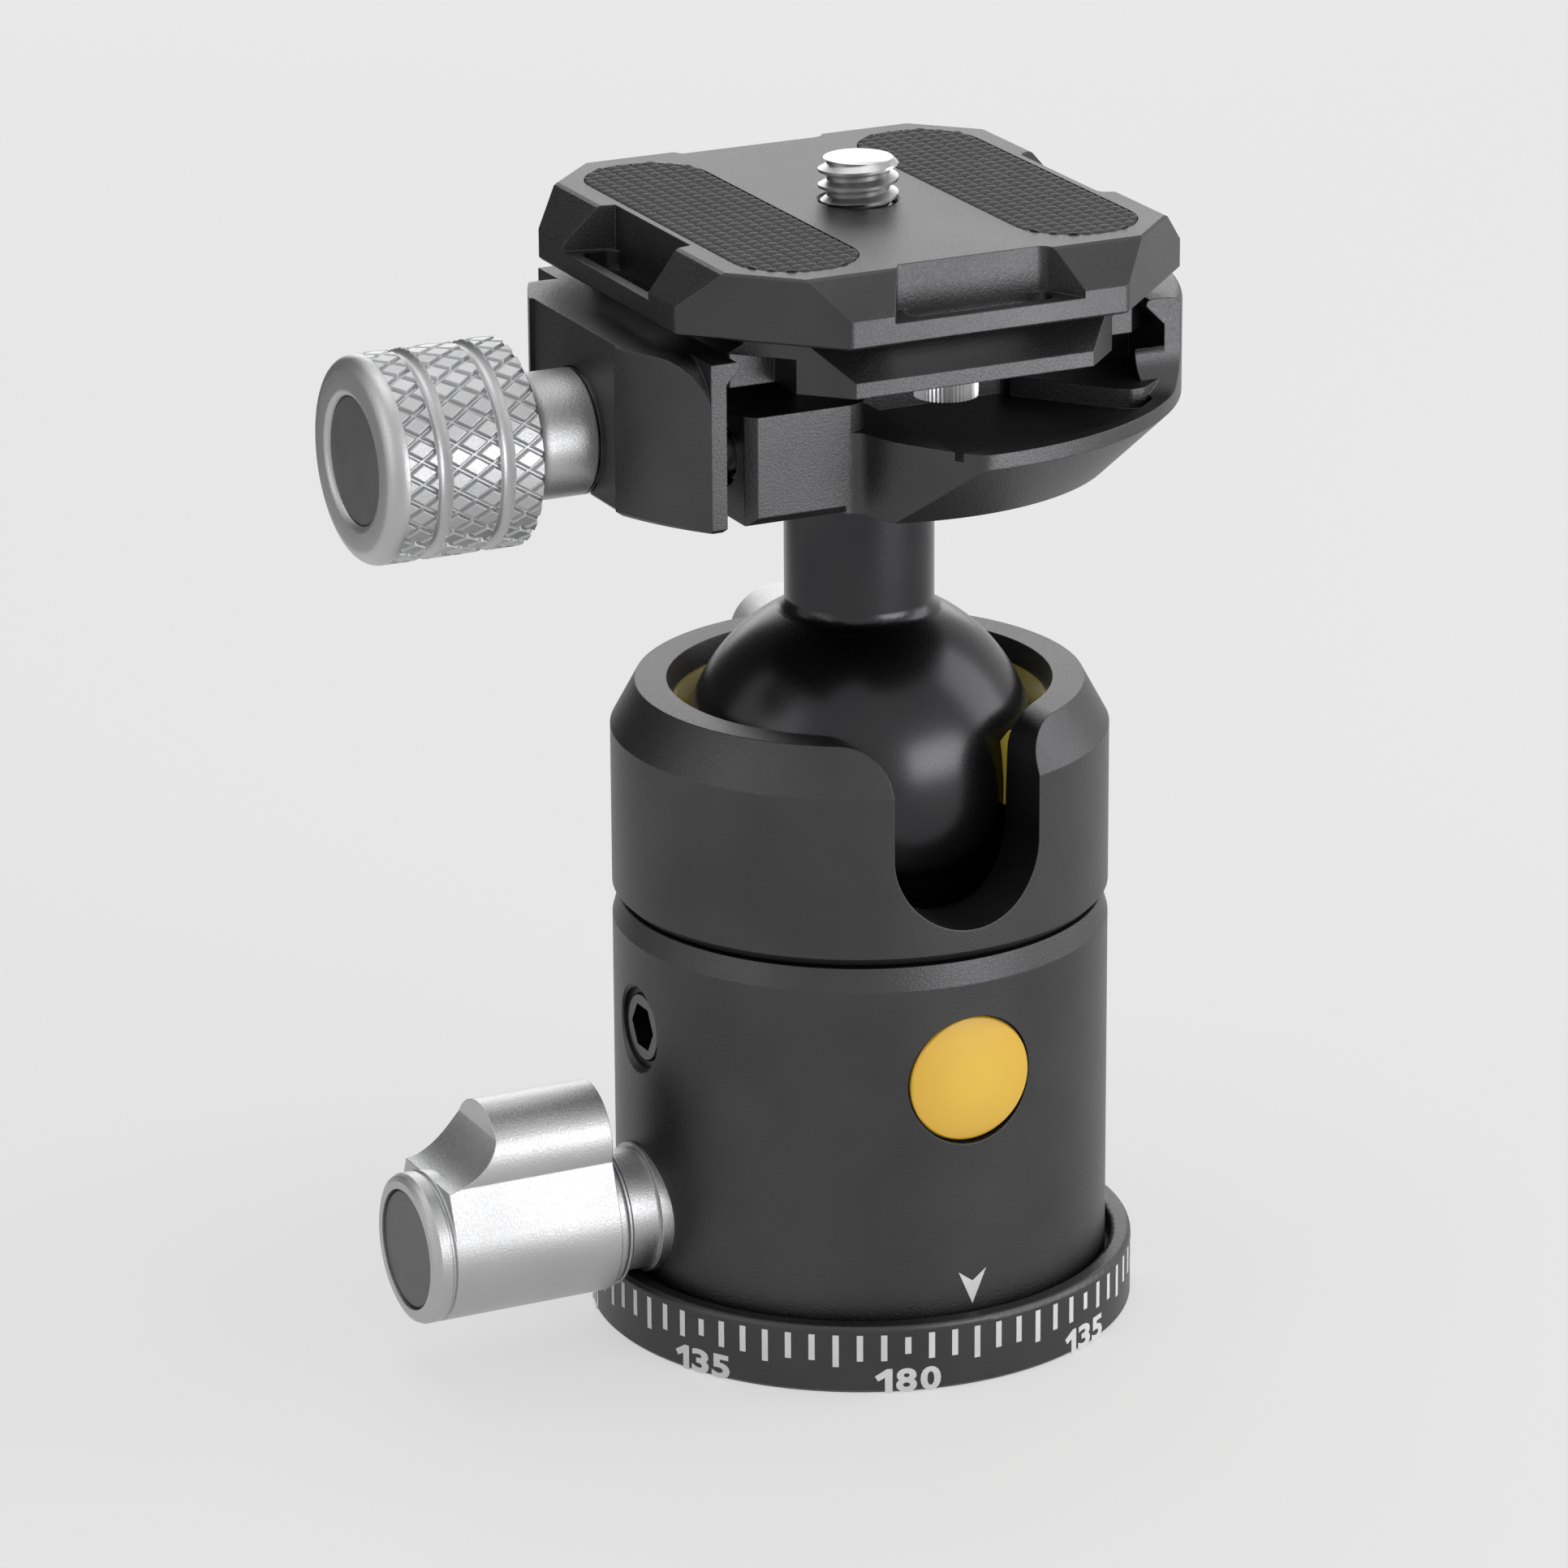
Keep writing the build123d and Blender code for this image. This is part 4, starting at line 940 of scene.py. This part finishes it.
@dataclass
class RubberPad:
    """One moulded rubber pad of the plate, covered with small pillows in rows."""

    side: int
    centre: float = 12.05
    width: float = 10.05
    length: float = 36.0
    columns: int = 9
    rows: int = 32
    cell_faces: int = 5
    bottom: float = PLATE_TOP - 0.8
    rim: float = PLATE_TOP - 0.12
    rise: float = 0.28
    end_planes: int = 20

    def build(self, rubber: bpy.types.Material) -> bpy.types.Object:
        """Makes the pad: pillows raised on a grid, cut to a stadium and closed below."""
        bm = bmesh.new()
        bmesh.ops.create_grid(
            bm,
            x_segments=self.columns * self.cell_faces,
            y_segments=self.rows * self.cell_faces,
            size=0.5,
            matrix=Matrix.Diagonal((self.width, self.length, 1, 1)),
        )
        cell_x = self.width / self.columns
        cell_y = self.length / self.rows
        for vert in bm.verts:
            across = 2 * ((vert.co.x + self.width / 2) / cell_x % 1) - 1
            along = 2 * ((vert.co.y + self.length / 2) / cell_y % 1) - 1
            vert.co.z = self.rise * (1 - abs(across) ** 3) * (1 - abs(along) ** 3)
        radius = self.width / 2
        straight = self.length / 2 - radius
        along_the_sides = 0.999
        for end in (-1, 1):
            for step in range(self.end_planes + 1):
                angle = math.pi * step / self.end_planes
                outward = (math.cos(angle), end * math.sin(angle), 0)
                point = (radius * outward[0], end * straight + radius * outward[1], 0)
                if abs(outward[0]) < along_the_sides:
                    cut(bm, point, outward)
        rim = [edge for edge in bm.edges if edge.is_boundary]
        walls = bmesh.ops.extrude_edge_only(bm, edges=rim)
        low = [item for item in walls["geom"] if isinstance(item, bmesh.types.BMVert)]
        for vert in low:
            vert.co.z = self.bottom - self.rim
        floor = [item for item in walls["geom"] if isinstance(item, bmesh.types.BMEdge)]
        bmesh.ops.contextual_create(bm, geom=[edge for edge in floor if edge.is_boundary])
        place = Matrix.Translation((self.side * self.centre, 0, self.rim))
        label = "left" if self.side < 0 else "right"
        piece = finished(f"scaled_pad_{label}", bm, rubber, "plate", place, 60)
        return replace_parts(piece, f"plate_pad_{label}")


@dataclass
class StopScrews:
    """The two stop screws under the plate, each with a finely ribbed head and a hexagon socket."""

    reach: float = 15.1
    bottom: float = 79.9
    head_top: float = 82.25
    shank_top: float = 85.5
    crest: float = 2.55
    root: float = 2.38
    shank_radius: float = 1.5
    socket_flat: float = 1.0
    socket_depth: float = 1.1
    edge: float = 0.2
    points_round: int = 96

    def loop(
        self, bm: bmesh.types.BMesh, height: float, radius: Callable[[int], float]
    ) -> list[bmesh.types.BMEdge]:
        """Adds a closed loop of edges.

        Args:
            bm: the screw's mesh.
            height: the loop's height.
            radius: gives the radius at each point's number.

        Returns:
            The loop's edges.
        """
        ring = bmesh.ops.create_circle(bm, segments=self.points_round, radius=1)["verts"]
        for number, vert in enumerate(ring):
            reach = radius(number)
            angle = math.tau * number / self.points_round
            vert.co = (reach * math.cos(angle), reach * math.sin(angle), height)
        return list({edge for vert in ring for edge in vert.link_edges})

    def hexagon(self, number: int) -> float:
        """The radius of the hexagon socket at a point's number."""
        side = self.points_round // 6
        from_flat = math.tau * ((number % side) - side / 2) / self.points_round
        return self.socket_flat / math.cos(from_flat)

    def ribs(self, number: int) -> float:
        """The radius of the ribbed rim at a point's number."""
        return self.crest if number % 2 else self.root

    def screw(self) -> bmesh.types.BMesh:
        """Makes one stop screw at the origin, from the socket's floor round to the shank's end."""
        bm = bmesh.new()
        outline = [
            (self.bottom + self.socket_depth, self.hexagon),
            (self.bottom, self.hexagon),
            (self.bottom, lambda _: self.root - self.edge),
            (self.bottom + self.edge, self.ribs),
            (self.head_top - self.edge, self.ribs),
            (self.head_top, lambda _: self.root - self.edge),
            (self.head_top, lambda _: self.shank_radius),
            (self.shank_top, lambda _: self.shank_radius),
        ]
        loops = [self.loop(bm, height, radius) for height, radius in outline]
        for below, above in zip(loops, loops[1:]):
            bmesh.ops.bridge_loops(bm, edges=[*below, *above])
        bmesh.ops.contextual_create(bm, geom=loops[0])
        bmesh.ops.contextual_create(bm, geom=loops[-1])
        return bm

    def build(self, steel: bpy.types.Material) -> bpy.types.Object:
        """Makes both stop screws as one piece."""
        bm = self.screw()
        bmesh.ops.recalc_face_normals(bm, faces=bm.faces[:])
        copy = bmesh.ops.duplicate(bm, geom=[*bm.verts, *bm.edges, *bm.faces])["geom"]
        front = [item for item in copy if isinstance(item, bmesh.types.BMVert)]
        rear = [vert for vert in bm.verts if vert not in set(front)]
        bmesh.ops.translate(bm, vec=(0, -self.reach, 0), verts=front)
        bmesh.ops.translate(bm, vec=(0, self.reach, 0), verts=rear)
        piece = finished("ribbed_stop_screws", bm, steel, "plate", crease=25)
        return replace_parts(piece, "stop_screws")


# ---- studio ----


@dataclass
class Studio:
    """A pale floor, soft lights and the camera."""

    background: str = "E6E6E6"
    floor_size: float = 8.0
    shadow_share: float = 0.3
    azimuth: float = -25.75
    elevation: float = 19.0
    roll: float = -0.345
    distance: float = 601.72
    aim_right: float = -6.08
    aim_up: float = -5.95
    aim_height: float = 50.0
    focal_share: float = 9255 / 1932

    def backdrop_shader(self, tree: bpy.types.NodeTree, lit: bpy.types.NodeSocket, shown: object) -> None:
        """Shows one shader to the camera and to reflections, and the other to diffuse light.

        Args:
            tree: the floor's or the world's tree.
            lit: the shader for diffuse light.
            shown: the shader that the camera and the reflections see.
        """
        path = add_node(tree, "ShaderNodeLightPath")
        seen = add_node(
            tree,
            "ShaderNodeMath",
            {0: path.outputs["Is Camera Ray"], 1: path.outputs["Is Glossy Ray"]},
            operation="MAXIMUM",
        )
        seen = add_node(
            tree,
            "ShaderNodeMath",
            {0: seen.outputs[0], 1: path.outputs["Is Transmission Ray"]},
            operation="MAXIMUM",
        )
        both = add_node(tree, "ShaderNodeMixShader", {0: seen.outputs[0], 1: lit, 2: shown})
        is_room = isinstance(tree.id_data, bpy.types.World)
        add_node(
            tree,
            "ShaderNodeOutputWorld" if is_room else "ShaderNodeOutputMaterial",
            {"Surface": both.outputs[0]},
        )

    def floor(self) -> bpy.types.Object:
        """Makes the plain floor, which keeps a faint shadow."""
        bm = bmesh.new()
        bmesh.ops.create_grid(bm, x_segments=1, y_segments=1, size=self.floor_size / 2)
        mesh = bpy.data.meshes.new("studio_floor")
        bm.to_mesh(mesh)
        bm.free()
        floor = bpy.data.objects.new("studio_floor", mesh)
        bpy.context.scene.collection.objects.link(floor)
        material, tree = new_material("painted_studio_floor")
        paint = add_node(tree, "ShaderNodeBsdfDiffuse", {"Color": linear(self.background)})
        glow = add_node(tree, "ShaderNodeEmission", {"Color": linear(self.background), "Strength": 1.0})
        shown = add_node(
            tree, "ShaderNodeMixShader", {0: self.shadow_share, 1: glow.outputs[0], 2: paint.outputs[0]}
        )
        self.backdrop_shader(tree, paint.outputs[0], shown.outputs[0])
        mesh.materials.append(material)
        return floor

    def world(self) -> None:
        """Sets an even grey room that shows as the background."""
        world = bpy.data.worlds.new("studio_room")
        world.use_nodes = True
        tree = world.node_tree
        tree.nodes.clear()
        room = add_node(tree, "ShaderNodeBackground", {"Color": linear("FFFFFF"), "Strength": 0.55})
        shown = add_node(tree, "ShaderNodeBackground", {"Color": linear(self.background), "Strength": 1.0})
        self.backdrop_shader(tree, room.outputs[0], shown.outputs[0])
        bpy.context.scene.world = world

    def softbox(
        self,
        name: str,
        place: tuple[float, float, float],
        size: tuple[float, float],
        brightness: float,
    ) -> None:
        """Hangs a soft light that faces the middle of the ball head.

        Args:
            name: the light's name.
            place: where it hangs, in metres.
            size: its width and height, in metres.
            brightness: how bright its face is, where the background is 0.8.
        """
        light = bpy.data.lights.new(name, "AREA")
        light.shape = "RECTANGLE"
        light.size, light.size_y = size
        light.energy = brightness * math.pi * size[0] * size[1]
        holder = bpy.data.objects.new(name, light)
        bpy.context.scene.collection.objects.link(holder)
        aim = Vector((0, 0, self.aim_height * MM)) - Vector(place)
        holder.location = place
        holder.rotation_euler = aim.to_track_quat("-Z", "Y").to_euler()
        holder.visible_camera = False

    def card(
        self, name: str, place: tuple[float, float, float], size: tuple[float, float], brightness: float
    ) -> None:
        """Stands a card that only reflections see, to shape the highlights and dark edges of the metal.

        Args:
            name: the card's name.
            place: its middle, in metres.
            size: its width and height, in metres.
            brightness: how bright it is, where the background is 0.8.
        """
        bm = bmesh.new()
        bmesh.ops.create_grid(
            bm, x_segments=1, y_segments=1, size=0.5, matrix=Matrix.Diagonal((*size, 1, 1))
        )
        aim = Vector((0, 0, place[2])) - Vector(place)
        turned = Matrix.Translation(place) @ aim.to_track_quat("-Z", "Y").to_matrix().to_4x4()
        bmesh.ops.transform(bm, matrix=turned, verts=bm.verts[:])
        mesh = bpy.data.meshes.new(name)
        bm.to_mesh(mesh)
        bm.free()
        card = bpy.data.objects.new(name, mesh)
        bpy.context.scene.collection.objects.link(card)
        material, tree = new_material(name)
        glow = add_node(tree, "ShaderNodeEmission", {"Color": linear("FFFFFF"), "Strength": brightness})
        add_node(tree, "ShaderNodeOutputMaterial", {"Surface": glow.outputs[0]})
        mesh.materials.append(material)
        card.visible_camera = False
        card.visible_diffuse = False
        card.visible_shadow = False

    def lights(self) -> None:
        """Hangs the studio's soft lights."""
        self.softbox("top_softbox", (0.0, 0.1, 0.8), (0.6, 0.6), 1.2)
        self.softbox("back_softbox", (0.25, 0.75, 0.32), (0.9, 0.45), 1.5)
        self.softbox("front_softbox", (0.16, -0.36, 0.12), (0.22, 0.16), 3.2)
        self.softbox("right_softbox", (0.5, -0.1, 0.25), (0.3, 0.5), 2.6)
        self.softbox("left_softbox", (-0.6, -0.05, 0.25), (0.3, 0.5), 0.9)
        self.card("front_card", (0.04, -0.09, 0.066), (0.07, 0.03), 6.0)
        self.card("dark_card", (-0.1, 0.2, 0.13), (0.2, 0.26), 0.08)

    def camera(self) -> bpy.types.Object:
        """Places the camera."""
        turn = math.radians(self.azimuth)
        rise = math.radians(self.elevation)
        roll = math.radians(self.roll)
        back = Vector((math.sin(turn) * math.cos(rise), -math.cos(turn) * math.cos(rise), math.sin(rise)))
        level = Vector((math.cos(turn), math.sin(turn), 0))
        upright = back.cross(level)
        aim = Vector((0, 0, self.aim_height)) + level * self.aim_right + upright * self.aim_up
        right = level * math.cos(roll) + upright * math.sin(roll)
        up = upright * math.cos(roll) - level * math.sin(roll)
        data = bpy.data.cameras.new("studio_camera")
        data.sensor_width = 36.0
        data.lens = self.focal_share * data.sensor_width
        data.clip_start = 0.01
        camera = bpy.data.objects.new("studio_camera", data)
        bpy.context.scene.collection.objects.link(camera)
        axes = Matrix((right, up, back)).transposed().to_4x4()
        camera.matrix_world = Matrix.Translation((aim + back * self.distance) * MM) @ axes
        bpy.context.scene.camera = camera
        return camera

    def build(self) -> None:
        """Sets up the floor, room, lights, camera and plain colour handling."""
        self.floor()
        self.world()
        self.lights()
        self.camera()
        bpy.context.scene.view_settings.view_transform = "Standard"


# ---- all finishes of the ball head ----


def make_finishes() -> dict[Slot, bpy.types.Material]:
    """Makes one material for each slot of the record."""
    finishes = {
        Slot.BLACK_ANODISED: BlastedAnodising(
            "black_anodised_blasted_aluminium", "464647", "4D4D4E", 0.42, 0.18, 0.03, 0.14
        ),
        Slot.SILVER_ANODISED: BlastedAnodising(
            "clear_anodised_blasted_aluminium", "B3B3B4", "C0C0C1", 0.43, 0.18, 0.02, 0.12
        ),
        Slot.BALL_BLACK: BlastedAnodising(
            "black_anodised_polished_aluminium", "38383A", "3E3E3F", 0.27, 0.1, 0.001, 0.1
        ),
        Slot.CAP_GREY: MouldedPlastic("grey_abs_disc", "4A4A4B", "515152", 0.45, 0.2, 0.003),
        Slot.LINER_YELLOW: MouldedPlastic("yellow_acetal", "C9B23C", "D2BC48", 0.42, 0.2, 0.002),
        Slot.SEAT_BLACK: MouldedPlastic("black_acetal", "2A2A2B", "303031", 0.42, 0.2, 0.002),
        # E0AC12 is the badge's own amber; the paler EDC232 in the middle is a painted highlight.
        Slot.BADGE_AMBER: ResinDome(
            "amber_resin_dome_painted_highlight", "E0AC12", "EDC232", (0, -20.0, 25.1), 6.5
        ),
        Slot.RUBBER_BLACK: MouldedPlastic("black_moulded_rubber", "272728", "323233", 0.58, 0.12, 0.01),
        Slot.STEEL_BRIGHT: TurnedMetal(
            "turned_stainless_steel", "A9A9AA", "BDBDBE", 0.32, 0.16, 0.0015, Turn.UPRIGHT
        ),
        Slot.STEEL_BLACK: TurnedMetal(
            "black_oxide_steel", "48484A", "545456", 0.3, 0.16, 0.0015, Turn.SIDEWAYS, (0, 0, 26.1)
        ),
        Slot.BRASS: TurnedMetal("turned_brass", "B5914C", "C9A55C", 0.25, 0.16, 0.0015, Turn.UPRIGHT),
        Slot.WHITE: MouldedPlastic("white_marking_ink", "D6D6D6", "E2E2E2", 0.5, 0.15, 0.004),
    }
    return {slot: finish.material() for slot, finish in finishes.items()}


def dress_solids(frame: dict, finishes: dict[Slot, bpy.types.Material]) -> None:
    """Gives each CAD node the finish of its slot in the record.

    Args:
        finishes: the material of each slot.
    """
    for part in frame["record"]["subparts"]:
        solid = frame["nodes"][part["node"]]
        finish = finishes[Slot(part["material_slot"])]
        for holder in solid.material_slots:
            holder.material = finish
        if not solid.material_slots:
            solid.data.materials.append(finish)


def main() -> None:
    """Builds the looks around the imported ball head."""
    logging.basicConfig(level=logging.INFO, format="%(name)s %(message)s")
    for leftover in list(bpy.data.objects):
        bpy.data.objects.remove(leftover)
    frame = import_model()
    finishes = make_finishes()
    dress_solids(frame, finishes)
    housing = Housing()
    pieces = [
        PanBase().build(finishes[Slot.WHITE]),
        housing.index_arrow(finishes[Slot.WHITE]),
        housing.badge(finishes[Slot.BADGE_AMBER]),
        ClampKnob().build(finishes[Slot.SILVER_ANODISED]),
        CameraScrew().build(finishes[Slot.STEEL_BRIGHT]),
        RubberPad(-1).build(finishes[Slot.RUBBER_BLACK]),
        RubberPad(1).build(finishes[Slot.RUBBER_BLACK]),
        StopScrews().build(finishes[Slot.STEEL_BRIGHT]),
    ]
    for piece in pieces:
        report(piece)
    Studio().build()


if __name__ == "__main__":
    main()
